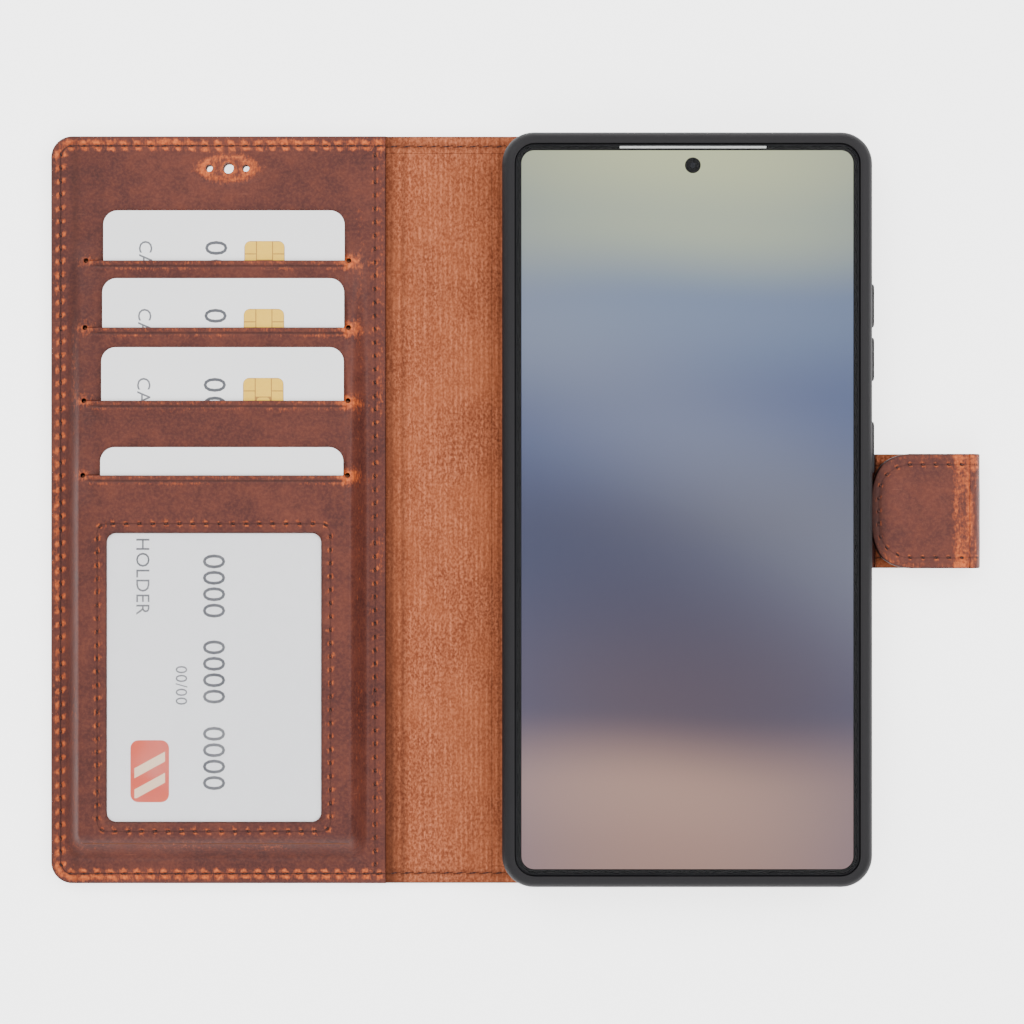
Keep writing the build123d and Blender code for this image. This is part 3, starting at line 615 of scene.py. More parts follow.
for n_, m_ in {
    "shell_body": SHELL, "shell_steel_plate": STEEL, "shell_inner_liner": MICRO, "volume_up_button": BUTTON, "volume_down_button": BUTTON, "power_button": BUTTON,
    "phone_frame": METAL, "phone_back_glass": BACKGLASS, "phone_screen_glass": GLASS,
    "phone_earpiece": MESH_METAL, "phone_camera_island": METAL, "phone_camera_lenses": LENS, "phone_flash": FLASH, "phone_port_tongue": BLACK,
    "pocket_backing": FABRIC, "slot_liner_2": FABRIC, "slot_liner_3": FABRIC, "slot_liner_4": FABRIC, "id_window_film": FILM,
    "front_stiffener": BOARD, "back_stiffener": BOARD, "back_magnets": MAGNET, "strap_catch_plate": STEEL, "strap_anchor": LEATHER_CAD, "strap_tip_magnet": MAGNET,
    "card_1": CARD, "card_2": CARD, "card_3": CARD, "card_4": CARD,
}.items():
    dress(n_, m_)

# ------------------------------------------------------------------ seams
INSET = 0.2                                # the panel and linings sit just inside the outer leather's edge
front_seam = Seam(u_path(PX1, FX0 + STI, YH - STI, CR - STI), 3.0)
free_seam = Seam([(PX1 - STI, YH - STI - 0.6), (PX1 - STI, -(YH - STI - 0.6))], 3.0, 0.8)
w0, w1, v0, v1 = WIN[0] - 2.1, WIN[1] + 2.1, WIN[2] - 2.1, WIN[3] + 2.1
window_seam = Seam([(w0 + 2, v1)] + [(w1 - 2, v1)] + arc(w1 - 2, v1 - 2, 2, 90, 0, 4)[1:] + arc(w1 - 2, v0 + 2, 2, 0, -90, 4) + arc(w0 + 2, v0 + 2, 2, -90, -180, 4) + arc(w0 + 2, v1 - 2, 2, 180, 90, 4), 2.95, 0.75)
outside_left = Seam(u_path(X_MID, FX0 + STI, YH - STI, CR - STI), 3.0, 0.55)
outside_right = Seam(u_path(X_MID, BACK_X - STI, YH - STI, CR - STI), 3.0, 0.55)
suede_left = [Seam([(PX1 + 0.3, YH - STI), (X_MID, YH - STI)], 3.0), Seam([(PX1 + 0.3, -YH + STI), (X_MID, -YH + STI)], 3.0)]
suede_right = Seam(u_path(X_MID, BACK_X - STI, YH - STI, CR - STI), 3.0)


def edge_left(x, y, x0, r, yh):
    dx, dy = x - x0, yh - np.abs(y)
    return np.where((dx < r) & (dy < r), r - np.hypot(r - dx, r - dy), np.minimum(dx, dy))


def edge_right(x, y, x1, r, yh):
    return edge_left(-x, y, -x1, r, yh)


def roll(e, r):
    """How far a rounded edge falls below its face at a distance e from the edge."""
    q = np.clip(e, 0, r)
    return r - np.sqrt(np.maximum(r * r - (r - q) ** 2, 0))


# ------------------------------------------------------------------ card panel
PXI, PYH, PR = FX0 + INSET, YH - INSET, CR - INSET
OUT_Y = [90, 60, SLOTS[0], (SLOTS[0] + SLOTS[1]) / 2, SLOTS[1], (SLOTS[1] + SLOTS[2]) / 2, SLOTS[2], (SLOTS[2] + SLOTS[3]) / 2, SLOTS[3], SLOTS[3] - 7, -90]
OUT_H = [0, 0, 0.5, 1.0, 1.5, 2.0, 2.5, 3.0, 3.5, 4.0, 4.0]


def panel_parts(x, y, band):
    S = smooth((x + 138.9) / 4.3) * (1 - smooth((x + 74.9) / 3.9))
    E = smooth((y + 78.9) / 6.8)
    w = smooth((x - SLIT0) / (-130.4 - SLIT0)) * (1 - smooth((x + 76.2) / (SLIT1 + 76.2)))
    h_out = PITCH * np.interp(-y, [-v for v in OUT_Y], OUT_H)
    return S, E, w, h_out


def lip_dist(y, band):
    """Distance below the lip of the slot that a flap belongs to."""
    t = np.full(y.shape, 99.0)
    for k, sy in enumerate(SLOTS):
        t = np.where(band == k + 1, sy - y, t)
    return t


def panel_top(x, y, band):
    S, E, w, h_out = panel_parts(x, y, band)
    z = BASE - 0.09 + S * E * (w * PITCH * band + (1 - w) * h_out)
    t = lip_dist(y, band)
    in_slit = ((x > SLIT0) & (x < SLIT1)).astype(float)
    z += w * (0.10 * gauss(t, 1.0) - 0.13 * gauss(t - 1.25, 0.22) + 0.06 * gauss(t - 1.9, 0.4)) - in_slit * w * roll(np.maximum(t, 0), 0.28) * (t < 50)
    z -= 0.04 * (1 + wob(x, y, 17, 1)) * S * (band > 0) * w
    s, ad, sd, kd = seam_attrs(x, y, [front_seam, free_seam, window_seam])
    z += pucker(s, ad, 1.0) * (1 - 0.6 * kd) + 0.02
    # pressed oval round the call holes and a soft swell at the window's edge
    ov = np.hypot((x + 102.5) / 7.2, (y - SPEAK_Y) / 3.2)
    z -= 0.16 * gauss(ov - 1.0, 0.16)
    e = np.minimum(edge_left(x, y, PXI, PR, PYH), PX1 - x)
    z -= roll(e, 0.45)
    ew = np.maximum(np.maximum(WIN[0] - x, x - WIN[1]), np.maximum(WIN[2] - y, y - WIN[3]))
    z -= roll(np.maximum(ew, 0), 0.35) * (ew > -0.5)
    return z


def panel_bot(x, y, band):
    S, E, w, h_out = panel_parts(x, y, band)
    z = BASE + S * E * (w * PITCH * band + (1 - w) * h_out)
    free = smooth((x - (PX1 - 4.2)) / 0.8)
    return z - PANEL_T - 0.4 * (1 - smooth(S * 4)) + 0.1 * free * (1 - smooth(S * 4))


def panel_attr(x, y, band, side):
    s, ad, sd, kd = seam_attrs(x, y, [front_seam, free_seam, window_seam])
    S, E, w, h_out = panel_parts(x, y, band)
    t = lip_dist(y, band)
    pull = np.zeros(x.shape)
    e = edge_left(x, y, PXI, PR, PYH)
    # stretched rim outside the stitch line, strongest at the top and the corners
    rim = gauss(e - 1.1, 0.9) * (0.20 + 0.30 * wob(x, y, 9, 2) + 0.14 * (np.abs(y) > YH - 5))
    pull += np.clip(rim, 0, 1)
    pull += 0.30 * gauss(ad, 1.1) * (kd < 0.1) * (np.abs(y) > YH - 5)
    free = PX1 - x
    pull += np.clip(gauss(free - 1.0, 1.1) * (0.16 + 0.25 * wob(x, y, 13, 3)), 0, 1)
    # slot ends, pulled by the cards
    for k, sy in enumerate(SLOTS):
        for ex_, grow in ((SLIT0, 1.0), (SLIT1, 1.25)):
            d = np.hypot((x - ex_) / 2.2, (y - sy) / 1.5)
            pull += 0.85 * gauss(d, 1.0) * grow * 0.8
        tail = (x > SLIT1 - 1) * gauss(y - sy + 0.8, 1.6) * np.exp(-np.clip(x - SLIT1, 0, 99) / 3.2)
        pull += 0.55 * tail
        pull += 0.34 * gauss(t - 0.5, 0.5) * (band == k + 1) * w + 0.52 * gauss(t - 1.85, 0.38) * (band == k + 1) * w * (0.6 + 0.6 * wob(x, y, 7, 5))
    ov = np.hypot((x + 102.5) / 7.2, (y - SPEAK_Y) / 3.2)
    pull += 0.50 * gauss(ov - 0.85, 0.26) + 0.26 * (1 - smooth((ov - 0.8) / 0.2))
    for hx, hr in SPEAK:
        pull += 0.42 * gauss(np.hypot(x - hx, y - SPEAK_Y) - hr - 0.3, 0.45)
    # the shoulder beside the cards: pull-up where it is stretched over their ends, plus a painted highlight that lifts
    # this right-facing slope out of its shade
    pull += 0.22 * gauss(S - 0.5, 0.36) * (x > -76) * smooth((y + 74) / 10) * smooth((78 - y) / 12) * (0.9 + 0.3 * wob(x, y, 9, 14))
    # wear on the raised shoulders
    sl = gauss(S - 0.55, 0.28) * (x < -120) * (y < 40)
    pull += np.clip(0.16 * sl * (1 + wob(x, y, 6, 7)), 0, 1) + np.clip(0.20 * gauss(E - 0.6, 0.3) * (1 + wob(x, y, 8, 8)), 0, 1) * (x > -140) * (x < -70)
    ew = np.maximum(np.maximum(WIN[0] - x, x - WIN[1]), np.maximum(WIN[2] - y, y - WIN[3]))
    pull += 0.05 * gauss(ew - 2.1, 1.0) * (ew > 0)
    # dark: dyed cut edges (outline, free edge, window) and painted shade in the pressed crease 1.25 mm below each slot
    # lip
    dark = 0.75 * gauss(e, 0.18) + 0.55 * gauss(free, 0.16) + 0.62 * gauss(t - 1.25, 0.20) * w + 0.55 * gauss(ew, 0.22)
    # painted shade: the outer shoulder's slope is painted darker
    dark = np.clip(dark + 0.34 * gauss(S - 0.5, 0.42) * (x < -130), 0, 1)
    if side < 0:
        pull, dark, ad = pull * 0, dark * 0 + 0.1, ad * 0 + 4
    return {"s": s, "ad": ad, "sd": sd, "kd": kd, "pull": np.clip(pull, 0, 1), "dark": dark}


xz = edge_zone(PXI, 1) + edge_zone(PX1, -1) + [(SLIT0 - 1.2, SLIT0 + 1.2, 0.28), (SLIT1 - 1.2, SLIT1 + 1.2, 0.28), (WIN[0] - 3, WIN[0], 0.35), (WIN[1], WIN[1] + 3, 0.35), (-108, -97, 0.30), (-139, -134, 0.4), (-75, -70.8, 0.4)]
xe = [SLIT0, SLIT1, SLIT0 - 0.5, SLIT0 + 0.5, SLIT1 - 0.5, SLIT1 + 0.5, WIN[0], WIN[1]]
for hx, hr in SPEAK:
    a_ = hr * 0.88
    xe += [hx - a_, hx + a_]
    xz.append((hx - a_, hx + a_, a_ / 2.5))
ys_e, ys_z = [WIN[2], WIN[3]], [(WIN[2] - 3, WIN[2], 0.35), (WIN[3], WIN[3] + 3, 0.35), (-79, -72, 0.45)]
for sy in SLOTS:
    ys_e += [sy, sy - 0.5, sy + 0.5]
    ys_z += [(sy - 2.2, sy, 0.18), (sy, sy + 0.6, 0.25)]
for a_ in (0.8 * 0.88, 1.2 * 0.88):
    ys_e += [SPEAK_Y - a_, SPEAK_Y + a_]
ys_z += [(SPEAK_Y - 1.1, SPEAK_Y + 1.1, 0.3), (SPEAK_Y - 4, SPEAK_Y + 3.0, 0.4)]
G = Grid(axis_points(PXI, PX1, 0.95, xz, xe), rows(PYH, PR, 0.78, ys_z, ys_e))
G.slits = [(sy, SLIT0, SLIT1) for sy in SLOTS]
for sy in SLOTS:
    for ex_ in (SLIT0, SLIT1):
        G.round_hole(ex_, sy, 0.55, 0.5)
for hx, hr in SPEAK:
    G.round_hole(hx, SPEAK_Y, hr, hr * 0.88)
G.rounded_window(*WIN, 2.0)
G.corner_warp(PXI, 1, PYH, PR)
panel = G.build("card_panel", LEATHER, panel_top, panel_bot, panel_attr)
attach(panel, "front_cover")
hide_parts("pocket_panel")


# ------------------------------------------------------------------ outer leather and suede, each in two halves that meet at mid-spine
def outer_sheet(name, side):
    if side < 0:
        x0, x1 = FX0, X_MID
        xs = axis_points(x0, x1, 1.1, edge_zone(x0, 1) + [(X_D - 3, X_D + 3, 0.4), (-108, -97, 0.4)], [c for hx, hr in SPEAK for c in (hx - hr * 0.88, hx + hr * 0.88)])
        edge = lambda x, y: edge_left(x, y, FX0, CR, YH)
        seam = outside_left
    else:
        x0, x1 = X_MID, BACK_X
        xs = axis_points(x0, x1, 1.1, edge_zone(x1, -1) + [(X_A - 3, X_A + 3, 0.4), (CAMWIN[0] - 2, CAMWIN[0] + 6, 0.5), (CAMWIN[1] - 6, CAMWIN[1] + 2, 0.5)], [CAMWIN[0], CAMWIN[1]])
        edge = lambda x, y: edge_right(x, y, BACK_X, CR, YH)
        seam = outside_right
    y_e = [CAMWIN[2], CAMWIN[3]] if side > 0 else [c for a in (0.8 * 0.88, 1.2 * 0.88) for c in (SPEAK_Y - a, SPEAK_Y + a)]
    y_z = [(CAMWIN[2] - 2, CAMWIN[2] + 6, 0.5), (CAMWIN[3] - 6, CAMWIN[3] + 2, 0.5)] if side > 0 else [(SPEAK_Y - 1.2, SPEAK_Y + 1.2, 0.35)]
    g = Grid(xs, rows(YH, CR, 1.0, y_z, y_e))
    if side > 0:
        g.rounded_window(*CAMWIN, CAMWIN_R)
    else:
        for hx, hr in SPEAK:
            g.round_hole(hx, SPEAK_Y, hr, hr * 0.88)
    g.corner_warp(x0 if side < 0 else x1, 1 if side < 0 else -1, YH, CR)

    def win_dist(x, y):
        if side < 0:
            return np.full(x.shape, 9.0)
        qx, qy = abs(x - (CAMWIN[0] + CAMWIN[1]) / 2) - (CAMWIN[1] - CAMWIN[0]) / 2 + CAMWIN_R, abs(y - (CAMWIN[2] + CAMWIN[3]) / 2) - (CAMWIN[3] - CAMWIN[2]) / 2 + CAMWIN_R
        return np.hypot(np.maximum(qx, 0), np.maximum(qy, 0)) + np.minimum(np.maximum(qx, qy), 0) - CAMWIN_R

    def top(x, y, b):
        return LEATHER_T - roll(edge(x, y), 0.25)

    def bot(x, y, b):
        s, ad, sd, kd = seam_attrs(x, y, [seam])
        z = 0.02 + roll(edge(x, y), 0.5) + roll(np.maximum(win_dist(x, y), 0), 0.4)
        z += 0.10 * gauss(ad, 0.45) + 0.05 * gauss(win_dist(x, y) - 1.8, 0.3)
        for xc in (X_D, X_A):
            z += 0.12 * gauss(x - xc, 0.7) * smooth(edge(x, y) / 3)
        return z

    def attr(x, y, b, sd_):
        s, ad, sd, kd = seam_attrs(x, y, [seam])
        e, wd = edge(x, y), win_dist(x, y)
        if sd_ > 0:
            return {"s": s, "ad": ad * 0 + 4, "sd": sd, "kd": kd, "pull": ad * 0, "dark": np.clip(0.9 * gauss(e, 0.5) + 0.2, 0, 1)}
        pull = np.clip(gauss(e - 1.0, 0.9) * (0.30 + 0.3 * wob(x, y, 8, 4)), 0, 1)
        for xc in (X_D, X_A):
            pull += np.clip(gauss(x - xc, 1.8) * (0.42 + 0.35 * wob(x * 3, y, 9, 6)), 0, 1)
        pull += np.clip(gauss(wd - 1.0, 0.9) * (0.35 + 0.25 * wob(x, y, 8, 4)), 0, 1)
        for cy in (-YH, YH):
            pull += 0.3 * gauss(np.hypot(x - (FX0 if side < 0 else BACK_X), y - cy), 7.0)
        pull += np.clip(0.22 * wob(x, y, 31, 9) - 0.02, 0, 1)
        return {"s": s, "ad": ad, "sd": sd, "kd": kd, "pull": np.clip(pull, 0, 1), "dark": np.clip(0.85 * gauss(e, 0.3) + 0.6 * gauss(wd, 0.3), 0, 1)}

    return g.build(name, LEATHER, top, bot, attr)


outer_l = outer_sheet("outer_leather_left", -1)
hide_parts("outer_leather_front")
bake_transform(outer_l)
outer_r = outer_sheet("outer_leather_right", 1)
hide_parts("outer_leather_back", "outer_leather_spine")
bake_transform(outer_r)


def suede_sheet(name, side):
    yh, r = YH - INSET, CR - INSET
    if side < 0:
        x0, x1 = FX0 + INSET, X_MID
        xs = axis_points(x0, x1, 1.0, [(x0, x0 + 1, 0.25), (-68, X_MID, 0.55), (X_D - 4.5, X_D + 2, 0.3), (-108, -97, 0.4)], [c for hx, hr in SPEAK for c in (hx - hr * 0.88, hx + hr * 0.88)])
        edge = lambda x, y: edge_left(x, y, x0, r, yh)
        seams = suede_left
    else:
        x0, x1 = X_MID, BACK_X - INSET
        xs = axis_points(x0, x1, 1.0, [(x1 - 3.6, x1, 0.4), (X_MID, -38, 0.55), (X_A - 2, X_A + 2, 0.3), (CAMWIN[0] - 2, CAMWIN[0] + 6, 0.5), (CAMWIN[1] - 6, CAMWIN[1] + 2, 0.5)], [CAMWIN[0], CAMWIN[1]])
        edge = lambda x, y: edge_right(x, y, x1, r, yh)
        seams = [suede_right]
    y_e = [CAMWIN[2], CAMWIN[3]] if side > 0 else [c for a in (0.8 * 0.88, 1.2 * 0.88) for c in (SPEAK_Y - a, SPEAK_Y + a)]
    y_z = [(CAMWIN[2] - 2, CAMWIN[2] + 6, 0.5), (CAMWIN[3] - 6, CAMWIN[3] + 2, 0.5)] if side > 0 else [(SPEAK_Y - 1.2, SPEAK_Y + 1.2, 0.35)]
    g = Grid(xs, rows(yh, r, 0.9, y_z, y_e))
    if side > 0:
        g.rounded_window(*CAMWIN, CAMWIN_R)
    else:
        for hx, hr in SPEAK:
            g.round_hole(hx, SPEAK_Y, hr, hr * 0.88)
    g.corner_warp(x0 if side < 0 else x1, 1 if side < 0 else -1, yh, r)

    def top(x, y, b):
        z = 2.38 - 0.2 * smooth((x + 64.5) / 3.5) + 0.40 * smooth((x + 42.0) / 2.0)
        s, ad, sd, kd = seam_attrs(x, y, seams)
        z -= 0.22 * gauss(ad, 0.32) * (0.5 + 0.5 * (0.5 + 0.5 * np.cos(2 * np.pi * (s - 0.5)))) - 0.05 * gauss(ad - 0.9, 0.5)
        z -= 0.12 * gauss(x + 63.2, 0.8) + 0.10 * gauss(x - X_A, 0.6)
        z += 0.05 * wob(x, y, 6, 11) * (x > -66) * (x < -41.5)
        return z - roll(edge(x, y), 0.35)

    def bot(x, y, b):
        e = edge(x, y)
        inner = smooth((e - 3.6) / 0.8)
        return LEATHER_T + inner * np.where(x < X_D - 3.9, 0.62, 0) + inner * np.where(x > X_A + 4.0, 0.82, 0)

    def attr(x, y, b, sd_):
        s, ad, sd, kd = seam_attrs(x, y, seams)
        e = edge(x, y)
        # dark: a dark cut edge, random mottling, and painted shade: the crease at x = -63.2, the shadow beside the card
        # panel's raised free edge (round x = -66.4 and -65, growing towards negative y) and the back fold at X_A
        dark = 0.55 * gauss(e, 0.25) + 0.34 * gauss(x + 63.2, 0.6) + 0.55 * gauss(x + 66.4, 1.5) + 0.30 * gauss(x - X_A, 0.7)
        dark += np.clip(0.10 * wob(x, y, 10, 12), 0, 1) + 0.35 * gauss(x + 65.0, 2.4) * (0.5 - 0.5 * np.clip(y / 60, -1, 1))
        if sd_ < 0:
            ad = ad * 0 + 4
        return {"s": s, "ad": ad, "sd": np.where(ad > 1.5, 1.2, sd), "kd": kd, "pull": ad * 0, "dark": np.clip(dark, 0, 0.9)}

    return g.build(name, SUEDE, top, bot, attr)


suede_l = suede_sheet("front_lining_sheet", -1)
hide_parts("front_lining")
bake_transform(suede_l)
suede_r = suede_sheet("back_lining_sheet", 1)
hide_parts("back_lining", "spine_lining")
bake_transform(suede_r)


# ------------------------------------------------------------------ threads
def stitches(name, jobs):
    """jobs: (seam, zfun, length, width, slant in degrees, from s, to s, which face). One sunken strand of thread per stitch."""
    rings, seg = 5, 8
    V, F = [], []
    rng = np.random.default_rng(11)
    for seam, zf, L, W, slant, s0, s1, up in jobs:
        for k in range(seam.n):
            sc = (k + 0.5) * seam.pitch
            if not s0 <= sc <= s1:
                continue
            x, y, a = seam.at(sc)
            a += math.radians(slant + rng.normal(0, 3.5))
            l_, w_ = L * (1 + rng.normal(0, 0.06)), W * (1 + rng.normal(0, 0.05))
            z0 = float(zf(x, y))
            base = len(V)
            for i in range(rings + 1):
                q = -1 + 2 * i / rings
                rr = math.sqrt(max(0.0, 1 - q * q)) * 0.9 + 0.1
                ax = q * l_ / 2
                dz = -0.14 * q * q * up
                for j in range(seg):
                    b = 2 * math.pi * j / seg
                    o1, o2 = rr * w_ / 2 * math.cos(b), rr * w_ * 0.42 * math.sin(b)
                    V.append((x + ax * math.cos(a) - o1 * math.sin(a), y + ax * math.sin(a) + o1 * math.cos(a), z0 + dz + o2))
            for i in range(rings):
                for j in range(seg):
                    p, q_ = base + i * seg + j, base + i * seg + (j + 1) % seg
                    F.append((p, q_, q_ + seg, p + seg))
            F.append(tuple(base + j for j in reversed(range(seg))))
            F.append(tuple(base + rings * seg + j for j in range(seg)))
    return new_object(name, V, F, THREAD)


def ptop(x, y, band=None):
    b = np.array([float(sum(y <= sy + 1e-6 for sy in SLOTS))]) if band is None else np.array([float(band)])
    return float(panel_top(np.array([x]), np.array([y]), b)[0])


def sueded(x, y):
    z = 2.38 - 0.2 * float(smooth((x + 64.5) / 3.5)) + 0.40 * float(smooth((x + 42.0) / 2.0))
    return z - 0.16


S_TOP = PX1 - FX0 - CR + 1.5              # the stitches along the top, then down the side, then along the bottom
on_panel = lambda x, y: ptop(x, y) + 0.07          # under the first card's path
on_side = lambda x, y: ptop(x, y) + 0.17
th1 = stitches("edge_stitches_inside", [(front_seam, on_panel, 1.65, 0.40, 5, 0, S_TOP, 1), (front_seam, on_side, 1.25, 0.52, 27, S_TOP, front_seam.S[-1] - S_TOP, 1), (front_seam, on_side, 1.65, 0.40, 5, front_seam.S[-1] - S_TOP, 1e9, 1)])
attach(th1, "front_cover")
th2 = stitches("free_edge_stitches", [(free_seam, on_side, 1.0, 0.46, 38, 0, 1e9, 1)])
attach(th2, "front_cover")
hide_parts("pocket_edge_thread")
th3 = stitches("window_stitches", [(window_seam, on_side, 1.0, 0.42, 26, 0, 1e9, 1)])
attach(th3, "front_cover")
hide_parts("id_window_thread")
th4 = stitches("left_cover_stitches", [(outside_left, lambda x, y: 0.13, 1.7, 0.34, 8, 0, 1e9, -1)] + [(s_, sueded, 2.1, 0.34, 7, 0, 1e9, 1) for s_ in suede_left])
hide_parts("front_edge_thread")
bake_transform(th4)
th5 = stitches("right_cover_stitches", [(outside_right, lambda x, y: 0.13, 1.7, 0.34, 8, 0, 1e9, -1), (suede_right, sueded, 2.1, 0.34, 7, 0, 1e9, 1)])
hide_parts("back_edge_thread", "spine_edge_thread")
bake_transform(th5)

# ------------------------------------------------------------------ closing strap
(TX0, TY0, _), (_, TY1, TZ1) = bx("strap_tip_leather")
TZ0 = bx("strap_tip_lining")[0][2]
MZ0 = bx("strap_tip_lining")[1][2]
X_R, X_F = bx("strap_root_leather")[0][0] - 0.05, bx("strap_root_leather")[1][0] + 0.1
YC, SH = (TY0 + TY1) / 2, (TY1 - TY0) / 2
TR = 10.0
TRUE0, PRESS0 = TX0 - 2.7, TX0 - 1.55      # the end as cut, and where the shell's side stops it


def press(x):
    return np.where(x < 44.0, PRESS0 + (x - TRUE0) * (44.0 - PRESS0) / (44.0 - TRUE0), x)


def unpress(x):
    return np.where(x < 44.0, TRUE0 + (x - PRESS0) * (44.0 - TRUE0) / (44.0 - PRESS0), x)


tip_seam = Seam([(float(press(np.array(x))), y + YC) for x, y in u_path(X_F - 0.3, TRUE0 + STI, SH - STI, TR - STI)], 2.9, 0.85)
root_seams = [Seam([(X_R + 0.3, YC + s * (SH - STI)), (X_F - 0.3, YC + s * (SH - STI))], 2.9, 0.85) for s in (1, -1)]


def tip_edge(x, y):
    return edge_left(unpress(x), y - YC, TRUE0, TR, SH)


def tip_top(x, y, b):
    s, ad, sd, kd = seam_attrs(x, y, [tip_seam])
    e = tip_edge(x, y)
    u = np.clip((x - TX0) / (X_F - TX0), 0, 1)
    z = TZ1 - 0.28 + 0.20 * smooth(e / 6) - 0.22 * gauss(u - 0.35, 0.3) * smooth(e / 5)
    z += 0.28 * smooth((x - (X_F - 5)) / 5) * smooth(e / 1.2)
    z += pucker(s, ad, 0.8)
    z += 0.035 * wob(x * 2.2, y * 0.5, 3, 21) * smooth((x - 56) / 4) * smooth(e / 2)
    return np.minimum(z, TZ1 - 0.0) - roll(e, 0.5)


def tip_attr(x, y, b, side):
    s, ad, sd, kd = seam_attrs(x, y, [tip_seam])
    e = tip_edge(x, y)
    pull = np.clip(gauss(e - 0.7, 0.6) * (0.35 + 0.3 * wob(x, y, 5, 22)), 0, 1)
    pull += smooth((x - 58.9) / 1.6) * (0.62 + 0.35 * wob(x * 2.4, y * 0.4, 2.2, 23))
    # dark: dyed cut edges, and painted shade over the last 5 mm of the tip, where it dips under the shell's side
    dark = 0.75 * gauss(e, 0.2) + 0.72 * (1 - smooth((x - PRESS0) / 5.0))
    if side < 0:
        ad = ad * 0 + 4
    return {"s": s, "ad": ad, "sd": sd, "kd": kd, "pull": np.clip(pull, 0, 1), "dark": np.clip(dark, 0, 1)}


def strap_grid(x0, x1, zones=(), rounded=True):
    ys = rows(SH, TR if rounded else 2.0, 0.55, [(-SH + 0.0, -SH + 4, 0.3), (SH - 4, SH, 0.3)], [])
    return Grid(axis_points(x0, x1, 0.6, zones, []), ys)


g = strap_grid(TRUE0, X_F, edge_zone(TRUE0, 1) + [(57, X_F, 0.4)])
g.corner_warp(TRUE0, 1, SH, TR)
g.warps.append(lambda x, y: (press(x), y))
tip = g.build("strap_tip_cover", LEATHER, tip_top, lambda x, y, b: np.full(x.shape, MZ0) + 0.0, tip_attr, y0=YC)
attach(tip, "strap_tip")
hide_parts("strap_tip_leather")


def plain_attr(pull=0.0, dark=0.0, seams=(), ex=None):
    def attr(x, y, b, side):
        s, ad, sd, kd = seam_attrs(x, y, list(seams))
        if (side > 0) != (ex == "top"):
            ad = ad * 0 + 4
        e = SH - abs(y - YC)
        return {"s": s, "ad": ad, "sd": sd, "kd": kd, "pull": np.clip(pull + 0.35 * gauss(e - 0.7, 0.6) + 0.25 * wob(x, y, 9, 31), 0, 1), "dark": np.clip(dark + 0.7 * gauss(e, 0.25), 0, 1)}
    return attr


g = strap_grid(TRUE0 + 0.1, X_F, edge_zone(TRUE0 + 0.1, 1))
g.corner_warp(TRUE0 + 0.1, 1, SH, TR)
g.warps.append(lambda x, y: (press(x), y))
tip_lining = g.build("strap_tip_lining_sheet", SUEDE, lambda x, y, b: np.full(x.shape, MZ0), lambda x, y, b: TZ0 + 0.02 + roll(tip_edge(x, y), 0.35), plain_attr(seams=[tip_seam], ex="bot"), y0=YC)
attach(tip_lining, "strap_tip")
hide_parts("strap_tip_lining")

# root: comes out of the cover's edge and drops to the table
ROOT_T = bx("strap_root_leather")[1][2]
ROOT_TOP = bx("strap_root_lining")[1][2]


def drop(x):
    return smooth((x - 40.6) / (X_R + 0.9 - 40.6))


g = strap_grid(39.4, X_F, [(40, 45, 0.35)], rounded=False)
root = g.build("strap_root_sheet", LEATHER,
               lambda x, y, b: 1.98 + (ROOT_T - 1.98) * drop(x),
               lambda x, y, b: 1.24 + (0.03 - 1.24) * drop(x) + roll(SH - abs(y - YC), 0.4) * drop(x) + 0.08 * gauss(seam_attrs(x, y, root_seams)[1], 0.4) * drop(x),
               plain_attr(0.12, 0.0, root_seams, "bot"), y0=YC)
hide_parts("strap_root_leather")
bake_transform(root)
g = strap_grid(X_R + 0.5, X_F, [], rounded=False)
root_lining = g.build("strap_root_lining_sheet", SUEDE,
                      lambda x, y, b: ROOT_TOP - 0.03 - roll(SH - abs(y - YC), 0.3) - 0.12 * gauss(seam_attrs(x, y, root_seams)[1], 0.3),
                      lambda x, y, b: np.full(x.shape, ROOT_T), plain_attr(0.0, 0.0, root_seams, "top"), y0=YC)
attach(root_lining, "strap_root")
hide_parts("strap_root_lining")


